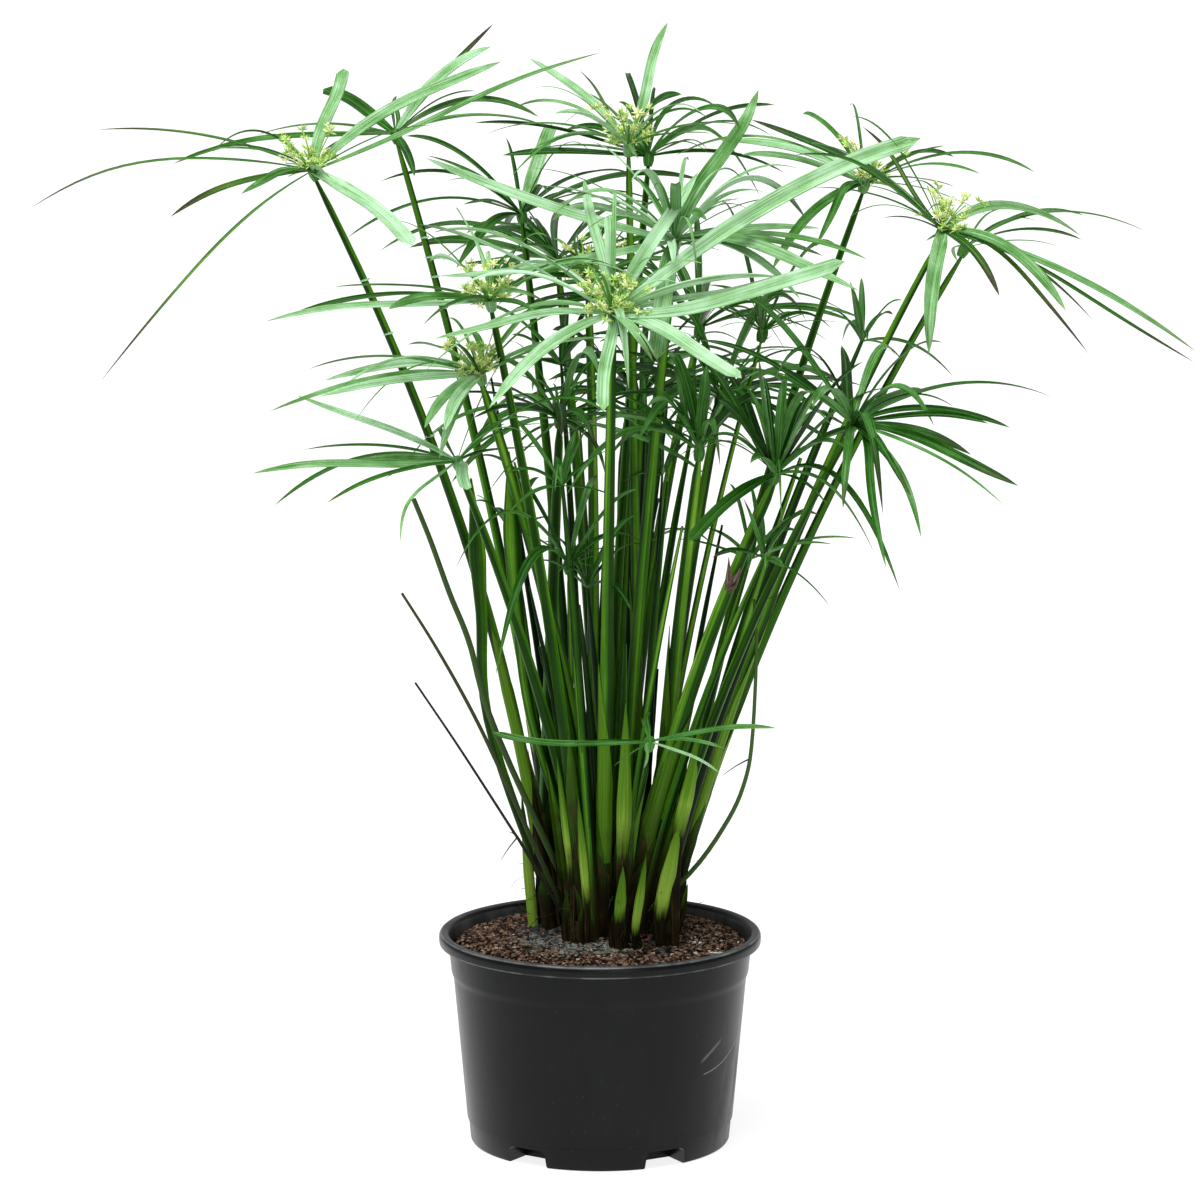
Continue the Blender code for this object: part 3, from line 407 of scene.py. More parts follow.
def pot_finish():
    """Satin black moulded plastic with dust, dull scuffs and a few fine pale scratches, with painted highlights
    round its rim and painted light on its shaded inner wall.
    """
    finish = Finish("pot_plastic", Specular_IOR_Level=0.17)
    place = finish.place()
    x, y, z = finish.parts(place)
    dust = finish.noise(place, 30, 5, 0.65, (1, 1, 0.35))
    film = dust.ramp(0.42, 0.8)
    specks = finish.noise(place, 520, 2).ramp(0.7, 0.76)
    wander = finish.noise(place, 260).swing(0.0012)
    # Two scratches on the right of the front: how far round the wall, and how far above or below each one
    arc = x.combined("ARCTAN2", x, y * -1) * 0.104
    bend = arc - 0.0863
    curve = (z - (bend * 0.1 + bend * bend * 5.4 + 0.0674) + wander).size()
    scratch = curve.fall(0.0001, 0.0006) * arc.ramp(0.084, 0.088) * arc.fall(0.129, 0.134)
    slant = (z - ((arc - 0.082) * 0.575 + 0.0776) + wander).size()
    graze = slant.fall(0.0003, 0.0022, 0.35) * arc.ramp(0.08, 0.086) * arc.fall(0.1, 0.106)
    fine = finish.noise(place, 1, 2, stretch=(700, 700, 90)).ramp(0.7, 0.76)
    # Painted highlights, broken up by dust, on the lip's lower edge, the brim's outer edge and the rim's top,
    # and painted light on the shaded inside above the soil
    reach = (x * x + y * y) ** 0.5
    highlight_dust = dust.ramp(0.4, 0.6, 0.25, 1)
    lip_highlight = (z - LIP_EDGE).size().fall(0.0002, 0.0011) * reach.ramp(0.1188, 0.1192)
    brim = (reach - BRIM_EDGE).size().fall(0.0001, 0.0009) * z.ramp(0.1585, 0.1595)
    # A dusty film on the inner wall above the soil, made lighter still as painted light where the wall lies in
    # shade
    inside = reach.fall(0.1124, 0.1131) * z.ramp(0.1475, 0.1485) * dust.ramp(0.35, 0.6, 0.4, 1)
    top = z.ramp(0.1588, 0.16) * dust.ramp(0.35, 0.6, 0.5, 1)
    # All of this is painted light: highlights along the rim, broken up by dust, and light on the shaded inner
    # wall
    painted_light_and_dust = (lip_highlight + brim) * highlight_dust * 0.5 + inside * 0.3 + top * 0.26
    marks_and_painted_light = scratch * 0.8 + graze + fine * 0.03 + specks * 0.1 + painted_light_and_dust
    black = finish.mixed(film * 0.6, (0.0028, 0.0029, 0.003), (0.0085, 0.009, 0.0094))
    colour = finish.mixed(marks_and_painted_light, black, (0.26, 0.27, 0.28))
    grain = dust + finish.noise(place, 900) * 0.15
    return finish.cover(colour, film.ramp(0, 1, 0.28, 0.48), grain, 0.16, 0.0008)


class Course:
    """A smooth line with a face along it, that patterns are laid along."""

    def __init__(self, points, face, turn=0):
        self.points = np.array(points, dtype=float)
        run = np.gradient(self.points, axis=0)
        run /= np.linalg.norm(run, axis=1)[:, None]
        face = np.array(face, dtype=float)[None, :]
        face = face - run * np.sum(run * face, axis=1)[:, None]
        face /= np.linalg.norm(face, axis=1)[:, None]
        side = np.cross(run, face)
        angle = (turn * np.linspace(0, 1, len(points)))[:, None]
        self.side = side * np.cos(angle) + face * np.sin(angle)
        self.face = face * np.cos(angle) - side * np.sin(angle)
        self.length = float(np.linalg.norm(np.diff(self.points, axis=0), axis=1).sum())

    def at(self, values, share):
        place = np.clip(share, 0, 1) * (len(self.points) - 1)
        low = np.minimum(place.astype(int), len(self.points) - 2)
        part = (place - low)[:, None]
        return values[low] * (1 - part) + values[low + 1] * part

    def lay(self, shape, width, depth):
        """A pattern's points laid along the line: across, along and height."""
        share = shape[:, 1]
        return (self.at(self.points, share) + self.at(self.side, share) * (shape[:, 0] * width)[:, None]
                + self.at(self.face, share) * (shape[:, 2] * depth)[:, None])

    def stretch(self, start, end):
        """The part of the line from one share of it to another."""
        shares = np.linspace(start, end, 13)
        return Course(self.at(self.points, shares), self.face[len(self.face) // 2])

    def point(self, share):
        return Vector(self.at(self.points, np.array([share]))[0])


class Growth:
    """One piece, gathered from many copies of patterns."""

    def __init__(self, name):
        self.name = name
        self.points = []
        self.grain = []
        self.nature = []
        self.faces = []
        self.count = 0

    def add(self, pattern, points, grain, tone, along, age=0):
        """Adds a copy whose points are given, with where each was before it was bent."""
        self.points.append(points)
        self.grain.append(grain + np.array([0, draw(0, 9), 0]))
        nature = np.empty_like(points)
        for column, values in enumerate((tone, along, age)):
            nature[:, column] = values
        self.nature.append(nature)
        self.faces += [[self.count + corner for corner in face] for face in pattern[1]]
        self.count += len(points)

    def lay(self, pattern, course, width, grain, tone, along, age=0, flat=1):
        """Adds a copy laid along a course. Flat is its depth against its width."""
        shape = pattern[0]
        self.add(pattern, course.lay(shape, width, width * flat), shape * np.array(grain), tone, along, age)

    def done(self, finish, nodes=(), crease=CREASE):
        mesh = bpy.data.meshes.new(self.name)
        mesh.from_pydata(np.vstack(self.points).tolist(), [], self.faces)
        for name, values in (("grain", self.grain), ("nature", self.nature)):
            layer = mesh.attributes.new(name, "FLOAT_VECTOR", "POINT")
            layer.data.foreach_set("vector", np.vstack(values).astype(np.float32).ravel())
        piece = stand(self.name, mesh)
        return dress(piece, finish, nodes, crease)


def stand(name, data, place=(0, 0, 0), turn=(0, 0, 0)):
    """Puts a mesh, a light or the camera in the scene."""
    thing = bpy.data.objects.new(name, data)
    thing.location = place
    thing.rotation_euler = turn
    bpy.context.collection.objects.link(thing)
    return thing


def dress(piece, finish, nodes=(), crease=CREASE):
    """Gives a piece its finish and hands it to the frame."""
    piece.data.materials.clear()
    piece.data.materials.append(finish.material)
    only(piece)
    bpy.ops.object.shade_smooth_by_angle(angle=crease)
    piece.select_set(False)
    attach(piece, "root")
    if nodes:
        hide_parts(*nodes)
    return piece


def only(thing):
    bpy.ops.object.select_all(action="DESELECT")
    thing.select_set(True)
    bpy.context.view_layer.objects.active = thing


def apply_place(thing):
    only(thing)
    bpy.ops.object.transform_apply(location=True, rotation=True, scale=True)


def just_added(name):
    """The shape that was just added, named and with its place applied."""
    thing = bpy.context.object
    thing.name = name
    apply_place(thing)
    return thing


def change(thing, kind, **settings):
    """Adds a modifier and applies it."""
    only(thing)
    step = thing.modifiers.new(kind.lower(), kind)
    for name, value in settings.items():
        setattr(step, name, value)
    bpy.ops.object.modifier_apply(modifier=step.name)


def everywhere(_):
    return True


def edit(thing, test=everywhere):
    """Opens a piece in edit mode with the points chosen that pass a test."""
    only(thing)
    bpy.ops.object.mode_set(mode="EDIT")
    work = bmesh.from_edit_mesh(thing.data)
    work.select_mode = {"VERT"}
    for point in work.verts:
        point.select = test(point.co)
    work.select_flush_mode()
    bmesh.update_edit_mesh(thing.data)


def close_edit():
    bpy.ops.object.mode_set(mode="OBJECT")


def reshape(thing, test, step, **settings):
    """Takes one step in edit mode on the points that pass a test."""
    edit(thing, test)
    step(**settings)
    close_edit()


def as_pattern(thing):
    """Keeps a modelled shape as points and faces to copy, and takes the shape itself away."""
    points = np.array([tuple(p.co) for p in thing.data.vertices])
    faces = [tuple(f.vertices) for f in thing.data.polygons]
    bpy.data.objects.remove(thing, do_unlink=True)
    return points, faces


def add_grid(name, columns, rows):
    """A sheet one wide and one long, that starts at the origin and lies along +Y."""
    bpy.ops.mesh.primitive_grid_add(x_subdivisions=columns, y_subdivisions=rows, size=1, location=(0, 0.5, 0))
    return just_added(name)


def model_blade():
    """A blade one wide and one long, folded along its middle, with a thin even thickness."""
    blade = add_grid("blade", 4, 18)
    for near, far, drop in ((-1, 0.1, 0.17), (0.1, 0.4, 0.06)):
        reshape(blade, lambda p: near < abs(p.x) < far, bpy.ops.transform.translate, value=(0, 0, -drop))
    change(blade, "SOLIDIFY", thickness=0.055, offset=-1)
    return as_pattern(blade)


def model_tube(sides, rows):
    """A tube of radius one that lies along +Y, with a few blunt ribs round it."""
    bpy.ops.mesh.primitive_cylinder_add(vertices=sides, radius=1, depth=1, location=(0, 0.5, 0),
                                        rotation=(-pi / 2, 0, 0))
    tube = just_added("tube")
    for row in range(1, rows):
        reshape(tube, everywhere, bpy.ops.mesh.bisect, plane_co=(0, row / rows, 0), plane_no=(0, 1, 0))
    points, faces = as_pattern(tube)
    rib = 1 + 0.05 * np.cos(3 * np.arctan2(points[:, 2], points[:, 0]))
    points[:, 0] *= rib
    points[:, 2] *= rib
    return points, faces


def model_sheath():
    """A sheath that wraps most of the way round a stem of radius one and ends in a pointed tongue."""
    sheath = add_grid("sheath", 12, 9)
    for point in sheath.data.vertices:
        x, y, _ = point.co
        angle = x * radians(310)
        height = y * (1 - 0.6 * abs(2 * x) ** 1.1)
        radius = 1 + 0.08 * abs(x) + 0.45 * max(height - 0.6, 0) ** 2
        point.co = (sin(angle) * radius, height, cos(angle) * radius)
    change(sheath, "SOLIDIFY", thickness=0.07, offset=1)
    return as_pattern(sheath)


def model_spikelets():
    """A small star of flattened spikelets round the end of a ray, of radius one."""
    bpy.ops.mesh.primitive_ico_sphere_add(subdivisions=1, radius=0.5, location=(0, 0.5, 0))
    spikelet = just_added("spikelet")
    reshape(spikelet, lambda p: p.y > 0.7, bpy.ops.transform.resize, value=(0.5, 1, 0.5),
            center_override=(0, 0.7, 0))
    shape, faces = as_pattern(spikelet)
    shape = shape * np.array([0.3, 1, 0.2])
    points = []
    corners = []
    for k, lift in enumerate((1.2, 0.5, 0.1, 0.75, -0.2, 0.3, 0.9)):
        turn = Matrix.Rotation(k * 2.4, 3, "Y") @ Matrix.Rotation(lift - pi / 2, 3, "X")
        points.append(shape @ np.array(turn).T)
        corners += [tuple(c + k * len(shape) for c in face) for face in faces]
    return np.vstack(points), corners


def model_crumbs(count, roughness):
    """Lumps of radius about one, each a little different."""
    crumbs = []
    for seed in range(1, count + 1):
        bpy.ops.mesh.primitive_ico_sphere_add(subdivisions=1, radius=1)
        crumb = just_added("crumb")
        reshape(crumb, everywhere, bpy.ops.transform.vertex_random, offset=roughness, uniform=0.6,
                normal=0.4, seed=seed)
        crumbs.append(as_pattern(crumb))
    return crumbs


BLADE = model_blade()
STEM = model_tube(12, 26)
KNOB = model_tube(10, 6)
TWIG = model_tube(5, 4)
SHEATH = model_sheath()
SPIKELETS = model_spikelets()
ALONG = STEM[0][:, 1]           # how far along a stem each point of its pattern is


def welded(node):
    """A CAD node's mesh with its loose triangles joined at their corners."""
    work = bmesh.new()
    work.from_mesh(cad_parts[node].data)
    bmesh.ops.remove_doubles(work, verts=work.verts, dist=WELD)
    work.verts.index_update()
    return work


def in_order(points):
    return sorted(points, key=lambda p: p.index)


def beside(points, seen):
    """Points that share an edge with the given ones and haven't been seen."""
    return {edge.other_vert(p) for p in points for edge in p.link_edges} - seen


def middle_of(points):
    return sum((p.co for p in in_order(points)), Vector()) / len(points)


def upright_rings(node):
    """Middle and radius of each ring of a stem, from its foot up."""
    work = welded(node)
    foot = min(p.co.z for p in work.verts)
    ring = {p for p in work.verts if p.co.z < foot + LEVEL}
    seen = set(ring)
    rings = []
    while ring:
        middle = middle_of(ring)
        rings.append((middle, (in_order(ring)[0].co - middle).length))
        ring = beside(ring, seen)
        seen |= ring
    work.free()
    return rings


def smooth_line(points, count=len(STEPS)):
    """A smooth line through a few points, by cubic pieces that keep their mean direction at each point."""
    points = [np.array(p) for p in points]
    ahead = [points[0] * 2 - points[1]] + points + [points[-1] * 2 - points[-2]]
    line = []
    for share in np.linspace(0, len(points) - 1 - 1e-9, count):
        k = int(share)
        t = share - k
        a, b, c, d = ahead[k:k + 4]
        line.append(0.5 * (2 * b + (c - a) * t + (2 * a - 5 * b + 4 * c - d) * t ** 2
                           + (3 * b - a - 3 * c + d) * t ** 3))
    return line


def through(points, face=FRONT, turn=0):
    """A course along a smooth line through a few points."""
    return Course(smooth_line(points), face, turn)


def short(points, face=(0, -1, 0.01)):
    """The same with fewer points on it, for twigs, rays and fibres."""
    return Course(smooth_line(points, 9), face)


class Bract:
    """One bract of the CAD model: its line, its width and the way its upper face looks."""

    def __init__(self, hub, tip, rings):
        rings = rings[::-1]
        self.by_hand = len(rings) == 2
        shares = [0, 0.33, 0.68, 1] if self.by_hand else [0, 0.5, 1]
        places = [hub] + [middle for middle, _, _ in rings] + [tip]
        fit = np.polyfit(shares, np.array([tuple(p) for p in places]), 2)
        steps = STEPS[:, None]
        self.line = fit[0] * steps ** 2 + fit[1] * steps + fit[2]
        self.length = float(np.linalg.norm(self.line[-1] - self.line[0]))
        self.width = max(width for _, width, _ in rings)
        self.face = sum((face for _, _, face in rings), Vector()).normalized()
        self.tip = tip


def blade_ring(points):
    """Middle, width and face of a three-cornered ring of a bract: its longest side is its width."""
    spots = [p.co for p in in_order(points)] * 2
    keel = max(range(3), key=lambda k: (spots[k + 1] - spots[k + 2]).length)
    left, right = spots[keel + 1:keel + 3]
    middle = (left + right) / 2
    return middle, (left - right).length, (middle - spots[keel]).normalized()


def read_umbel(node):
    """The crown, the bracts and the tips of the flower stalks of one umbel of the CAD model."""
    work = welded(node)
    crown = max(in_order(work.verts), key=lambda p: len(p.link_edges))
    hub = crown.co.copy()
    bracts = []
    flowers = []
    for tip in in_order(work.verts):
        ring = beside({tip}, set())
        if len(ring) != 3 or tip is crown:
            continue
        if crown in ring:
            flowers.append(tip.co.copy())
            continue
        seen = {tip} | ring
        rings = []
        while len(ring) == 3 and (middle_of(ring) - hub).length > SOCKET_REACH:
            rings.append(blade_ring(ring))
            ring = beside(ring, seen)
            seen |= ring
        bracts.append(Bract(hub, tip.co.copy(), rings))
    work.free()
    return hub, bracts, flowers


def outline(share, base, fullness):
    """A blade's width along it: even at first, then a long point, or a round end if its fullness is 0."""
    if not fullness:
        start = 0.4 + 0.6 * np.clip(share / 0.35, 0, 1) ** 0.8
        return start * np.clip((1 - share) / 0.06, 0, 1) ** 0.45
    start = base + (1 - base) * np.clip(share / 0.3, 0, 1) ** 0.8
    return start * np.clip(1 - share ** fullness, 0, 1) ** 0.9


def add_blade(growth, course, width, base, fullness, tone, age):
    """A leaf or a strip of sheath, folded along its middle, most of all near its base."""
    shape = BLADE[0]
    shares = shape[:, 1]
    widths = width * outline(shares, base, fullness)
    depths = widths * np.clip(1.8 - 0.8 * shares, 0.9, 1.8)
    grain = shape * np.column_stack([widths, np.full(len(shape), course.length), widths])
    growth.add(BLADE, course.lay(shape, widths, depths), grain, tone, shares, age)


def make_whorls(finish, flower):
    """The bracts of every umbel, with finer ones between them, and the flowers of those that bloom."""
    for number in NUMBERS:
        node = f"umbel_{number:02d}"
        hub, bracts, flower_tips = read_umbel(node)
        axis = (hub - stems[number].point(0.97)).normalized()
        growth = Growth(f"bracts_{number:02d}")
        for bract in bracts:
            add_bract(growth, bract, number, look_of(bract, hub, number))
        for whorl, across, rise, length, arch, width, tone, age, blunt in HANGING:
            if whorl == number:
                line = hanging_line(hub, across, rise, length, arch)
                course = Course(line, (0, -0.6, 0.8), draw(-0.3, 0.3))
                add_blade(growth, course, width, BRACT_BASE, 0 if blunt else 5, tone, age)
        add_fine_bracts(growth, hub, spread(axis), bracts, number)
        knob = short([hub + axis * rise for rise in (-0.008, -0.004, 0, 0.003)], FRONT)
        share = KNOB[0][:, 1]
        growth.lay(KNOB, knob, 0.0031 + 0.0014 * np.sin(share * pi), 0.004, TONES_WITH_PAINTED_LIGHT[number], 0.1 * share)
        growth.done(finish, [node])
        if number in FLOWERING:
            make_flowers(number, flower, hub, spread(axis), flower_tips)


def add_bract(growth, bract, number, look):
    """A bract of the CAD model, a little wavy along its line."""
    line = bract.line.copy()
    shares = STEPS[:, None]
    side = np.cross(line[-1] - line[0], np.array(bract.face))
    side /= np.linalg.norm(side)
    wave = bract.length * draw(-0.02, 0.02)
    line += side * wave * np.sin(shares * ROUND)
    if not bract.by_hand:
        line[:, 2] -= (bract.length * draw(0, 0.06) * shares ** 4)[:, 0]
    tone, age, breadth, blunt = look or (TONES_WITH_PAINTED_LIGHT[number] + draw(-0.42, 0.14), pick((0, 0, 0.1, 0.3, 0.7)),
                                         draw(0.5, 0.95) * SLIM.get(number, 1), False)
    course = Course(line, bract.face, draw(-0.3, 0.3) if look else draw(-1.3, 1.3))
    fullness = draw(4.5, 8)
    add_blade(growth, course, bract.width * breadth, BRACT_BASE, 0 if blunt else fullness, tone, age)


def tumbled(low, high):
    """A random turn about the upright after a tilt between two angles."""
    return np.array(Matrix.Rotation(draw(0, 6.3), 3, "Z") @ Matrix.Rotation(draw(low, high), 3, "X")).T


def shifted(reach):
    """A random shift of up to a given reach each way."""
    return Vector([draw(-reach, reach) for _ in "xyz"])


def seen(point):
    """Where a point is seen from the front, across and up, in millimetres at the pot's distance."""
    run = Vector(point) - EYE
    depth = run.y * cos(LOOK) - run.z * sin(LOOK)
    rise = run.z * cos(LOOK) + run.y * sin(LOOK)
    return run.x / depth * -EYE.y * 1000, rise / depth * -EYE.y * 1000


def look_of(bract, hub, number):
    """The look listed for a bract, if there is one for where its tip is."""
    across, rise = (a - b for a, b in zip(seen(bract.tip), seen(hub)))
    for entry in BRACT_LOOKS.get(number, ()):
        if hypot(entry[0] - across, entry[1] - rise) < TIP_MATCH:
            return (*entry[2:], False)[:4]
    return None


def hanging_line(hub, across, rise, length, arch):
    """The line of a bract from its hub to where its tip is seen from the front."""
    scale = (hub.y - EYE.y) / -EYE.y * 0.001
    spot = Vector((across, sin(LOOK) * rise, cos(LOOK) * rise)) * scale
    sight = (hub + spot - EYE).normalized()
    along = spot.dot(sight)
    reach = sqrt(max(along ** 2 - spot.length_squared + (length * 0.001) ** 2, 0))
    tip = spot + sight * (copysign(reach, length) - along)
    return [hub + tip * t + UP * (arch * 0.001 * 4 * t * (1 - t)) for t in STEPS]


def spread(axis):
    """Gives a function: the direction at a turn about an axis and at a lift towards it."""
    across = axis.cross(BACK).normalized()
    front = axis.cross(across)
    return lambda turn, lift: (across * cos(turn) + front * sin(turn)) * cos(lift) + axis * sin(lift)


def add_fine_bracts(growth, hub, toward, bracts, number):
    """Narrow young bracts that stand between the broad ones, and broader ones that curve every way."""
    usual = sorted(bract.length for bract in bracts)[len(bracts) // 2]
    count = FINE_BRACTS[number]
    tone = TONES_WITH_PAINTED_LIGHT[number]
    for k in range(count):
        out = toward(ROUND * (k + draw(-0.35, 0.35)) / count, draw(0.05, 0.95))
        length, width = usual * draw(0.42, 0.85), draw(0.0018, 0.0038)
        add_arching(growth, hub, out, length, width, tone - pick((0.1, 0.1, 0.45)))
    for _ in range(INNER_BRACTS.get(number, 0)):
        out = toward(draw(0, ROUND), draw(-0.1, 1.15))
        add_arching(growth, hub, out, draw(0.07, 0.125), draw(0.005, 0.0085), tone + 0.06, 0.07)


def add_arching(growth, hub, out, length, width, tone, least=0.05):
    """A narrow bract that rises, arches over and hangs at its point."""
    drop = length * draw(least, 4 * least)
    line = [hub + out * length * t + UP * drop * (4 * t * (1 - t) - 1.2 * t ** 3) for t in STEPS]
    fullness = draw(2.5, 5)
    course = Course(line, UP + out * 0.01, draw(-1.2, 1.2))
    add_blade(growth, course, width, 0.45, fullness, tone + draw(-0.2, 0.2), pick((0, 0.2, 0.8)))


def make_flowers(number, finish, hub, toward, ends):
    """Thin rays that stand on the crown, each with a few tufts of spikelets."""
    growth = Growth(f"flowers_{number:02d}")
    count, longest = (32, 0.034) if number == HERO else (24, 0.026)
    for k in range(count):
        out = toward(k * GOLDEN + draw(-0.3, 0.3), draw(0.12, 1.25))
        ends.append(hub + out * draw(0.01, longest))
    star = SPIKELETS[0]
    for end in ends:
        growth.lay(TWIG, short([hub, hub.lerp(end, 0.5) + UP * 0.0015, end]), 0.00045, 0.001, 0.15, 0)
        for _ in range(pick((1, 2, 2, 3))):
            spot = hub.lerp(end, draw(0.78, 1)) + shifted(0.0025)
            size = draw(0.0038, 0.0066)
            points = star @ tumbled(0.6, 2.2) * size + np.array(spot)
            growth.add(SPIKELETS, points, star * size, draw(0.35, 0.95), np.linalg.norm(star, axis=1))
    growth.done(finish)


def stem_line(rings):
    """The line of a stem: an arc from its foot to its top by way of its third ring, which is at 0.4 of it."""
    foot, top = rings[0][0], rings[-1][0]
    bend = (rings[2][0] - foot * 0.36 - top * 0.16) / 0.48
    return [foot * (1 - t) ** 2 + bend * 2 * t * (1 - t) + top * t ** 2 for t in STEPS]


def read_bare(node):
    """The course of a bare stalk or a shoot of the CAD model, and its radius along a stem's pattern."""
    rings = upright_rings(node)
    course = through([middle for middle, _ in rings])
    return course, np.interp(ALONG, np.linspace(0, 1, len(rings)), [radius for _, radius in rings])


def painted_sides():
    """Painted light and shade round a stem, paler lit sides and darker shaded ones, as a value at each point of
    its pattern.
    """
    shape = STEM[0]
    return 0.5 + 0.5 * np.cos(2 * np.arctan2(shape[:, 2], shape[:, 0]) + draw(0, ROUND))


# On the green stems, young culms and shoots, age carries painted light and shade round the stem
def add_stem(growth, course, width, radius, tone, age=0, flat=1):
    """Lays the stem's pattern along a course. Radius is the usual one, which sets the scale of its grain."""
    growth.lay(STEM, course, width, (radius, course.length, radius), tone, ALONG, age, flat)


def make_stems(finish):
    """The green stems. Each one starts in the rootstock and ends in its umbel's crown."""
    for number in NUMBERS:
        node = f"stem_{number:02d}"
        rings = upright_rings(node)
        radius = rings[3][1]
        line = stem_line(rings)
        line[0] = line[0] - UP * 0.004
        course = Course(line, FRONT, draw(-0.5, 0.5))
        flare, flat = FLARES.get(number, (1, 1))
        width = radius * np.interp(ALONG, (0, 0.13, 0.4, 0.7, 1), (1.5, 1.45, 1.36, 1.12, 0.84))
        width = width * np.interp(ALONG, (0, 0.4, 0.6, 0.88, 0.97, 1),
                                  (1, 1, 0.4 + 0.6 * flare ** 0.6, flare, flare * 0.95, flare * 0.5))
        growth = Growth(f"culm_{number:02d}")
        add_stem(growth, course, width, radius, STEM_TONES.get(number, 0.5), painted_sides(), flat)
        growth.done(finish, [node])
        stems[number] = course
        stem_radii[number] = radius


def wrap(growth, number, start, end, girth, tone, age):
    """A sheath wrapped round a stem between two lengths along it, turned a random way about it."""
    course = stems[number]
    width = stem_radii[number] * girth
    turn = draw(0, ROUND)
    x, y, z = SHEATH[0].T
    turned = np.column_stack([x * cos(turn) - z * sin(turn), y, x * sin(turn) + z * cos(turn)])
    part = course.stretch(start / course.length, end / course.length)
    grain = SHEATH[0] * np.array([width, part.length, width])
    growth.add(SHEATH, part.lay(turned, width, width), grain, tone, y, age)


def make_sheaths(finish):
    """Old brown sheaths low on the stems and fresh yellow-green ones above them."""
    old = Growth("old_sheaths")
    fresh = Growth("fresh_sheaths")
    for number in NUMBERS:
        wrap(old, number, 0, draw(0.035, 0.1), 1.7, 0.1, draw(0.7, 1))
        wrap(old, number, 0.012, draw(0.09, 0.17), 1.6, 0.2, draw(0.45, 0.95))
        if number % 3:
            wrap(fresh, number, 0.06, draw(0.16, 0.3), 1.5, draw(0.1, 0.7), draw(0, 0.25))
    old.done(finish)
    fresh.done(finish)


def make_torn_sheath(finish):
    """A dry sheath, torn in three, on the stem that is seen nearest to its place."""
    torn = Growth("torn_sheath")
    _, number, share = min((dist(seen(point), TORN_SHEATH) + point[1] * 50, number, share)
                           for number, course in stems.items() for point, share in zip(course.points, STEPS))
    low, high = (stems[number].point(share + shift) for shift in (-0.02, 0.045))
    front = Vector((0, -1.5 * stem_radii[number], 0))
    for aside, rise, width in ((-0.008, 0.004, 0.006), (0.001, -0.004, 0.008), (-0.003, -0.016, 0.006)):
        tip = high + Vector((aside, -0.006, rise))
        course = through([low + front, low.lerp(tip, 0.5) + front * 1.6, tip], (aside * 30, -1, 0.2), 0.8)
        add_blade(torn, course, width, 0.6, 2, 0.5, 0.5)
    torn.done(finish)


def make_scars(finish):
    """The pale scales, each a small sliver that stands out on both sides of its stem."""
    scars = Growth("pale_scales")
    for number, spots in SCARS.items():
        course = stems[number]
        radius = stem_radii[number]
        for spot in spots:
            share = min(np.linspace(0.3, 0.98, 137), key=lambda s: dist(seen(course.point(s)), spot))
            run = (course.point(share + 0.01) - course.point(share - 0.01)).normalized()
            side = run.cross(BACK).normalized() * radius * 1.6
            middle = course.point(share) + Vector((0, -1.15 * radius, 0))
            points = [middle - side, middle + UP * 0.0006, middle + side + UP * 0.001]
            add_blade(scars, through(points, (0, -1, 0.3)), 0.0016, 0.5, 3, 1.1, 0)
    scars.done(finish)


def between(number, rank, share):
    """A line that runs between a stem and the neighbour with a given rank, from 0, at its foot."""
    foot = stems[number].points[2]
    others = sorted((n for n in stems if n != number and n not in THIN_STEMS),
                    key=lambda n: float(np.linalg.norm(stems[n].points[2] - foot)))
    return stems[number].points * (1 - share) + stems[others[rank]].points * share


def make_young_culms(finish, leaf):
    """Thin young stems that fill the clump, each ending in a small whorl of narrow bracts or a point."""
    culms = Growth("young_culms")
    whorls = Growth("young_whorls")
    for number in (*range(3, 9), *range(10, 17), *range(20, 26)):
        for rank in (0, 2):
            line = between(number, rank, draw(0.35, 0.65))
            course = Course(line, FRONT).stretch(0, draw(0.45, 0.9))
            course = through(course.points[::3])
            radius = draw(0.0023, 0.0042)
            width = radius * np.interp(ALONG, (0, 0.2, 0.8, 1), (1.4, 1.2, 0.75, 0.35))
            add_stem(culms, course, width, radius, draw(0.05, 0.5), painted_sides())
            hub = course.point(1)
            if rank == 0 and hub.z > 0.42:
                add_spray(whorls, hub, spread((hub - course.point(0.95)).normalized()), draw(0.15, 0.5))
    culms.done(finish)
    whorls.done(leaf)


def add_spray(growth, hub, toward, tone):
    """A loose whorl of narrow arching bracts."""
    count = pick((5, 7, 9))
    usual = draw(0.045, 0.085)
    for k in range(count):
        out = toward(ROUND * (k + draw(-0.3, 0.3)) / count, draw(-0.1, 1.2))
        add_arching(growth, hub, out, usual * draw(0.5, 1.15), draw(0.0035, 0.007), tone, 0.04)


def make_dead_strips(finish):
    """Dead strips of sheath that stand between the stems."""
    strips = Growth("dead_strips")
    numbers = [n for n in NUMBERS if n not in THIN_STEMS]
    for k in range(110):
        line = between(numbers[k % len(numbers)], pick((0, 1, 2, 3)), draw(0.1, 0.9))
        part = Course(line, (draw(-0.8, 0.8), -1, 0)).stretch(0, draw(0.09, 0.28))
        course = through(part.points[::3], part.face[0], draw(-0.5, 0.5))
        add_blade(strips, course, draw(0.006, 0.011), 0.9, 4, draw(0, 0.35),
                  draw(0.55, 1) if k % 5 else 0.1)
    strips.done(finish)


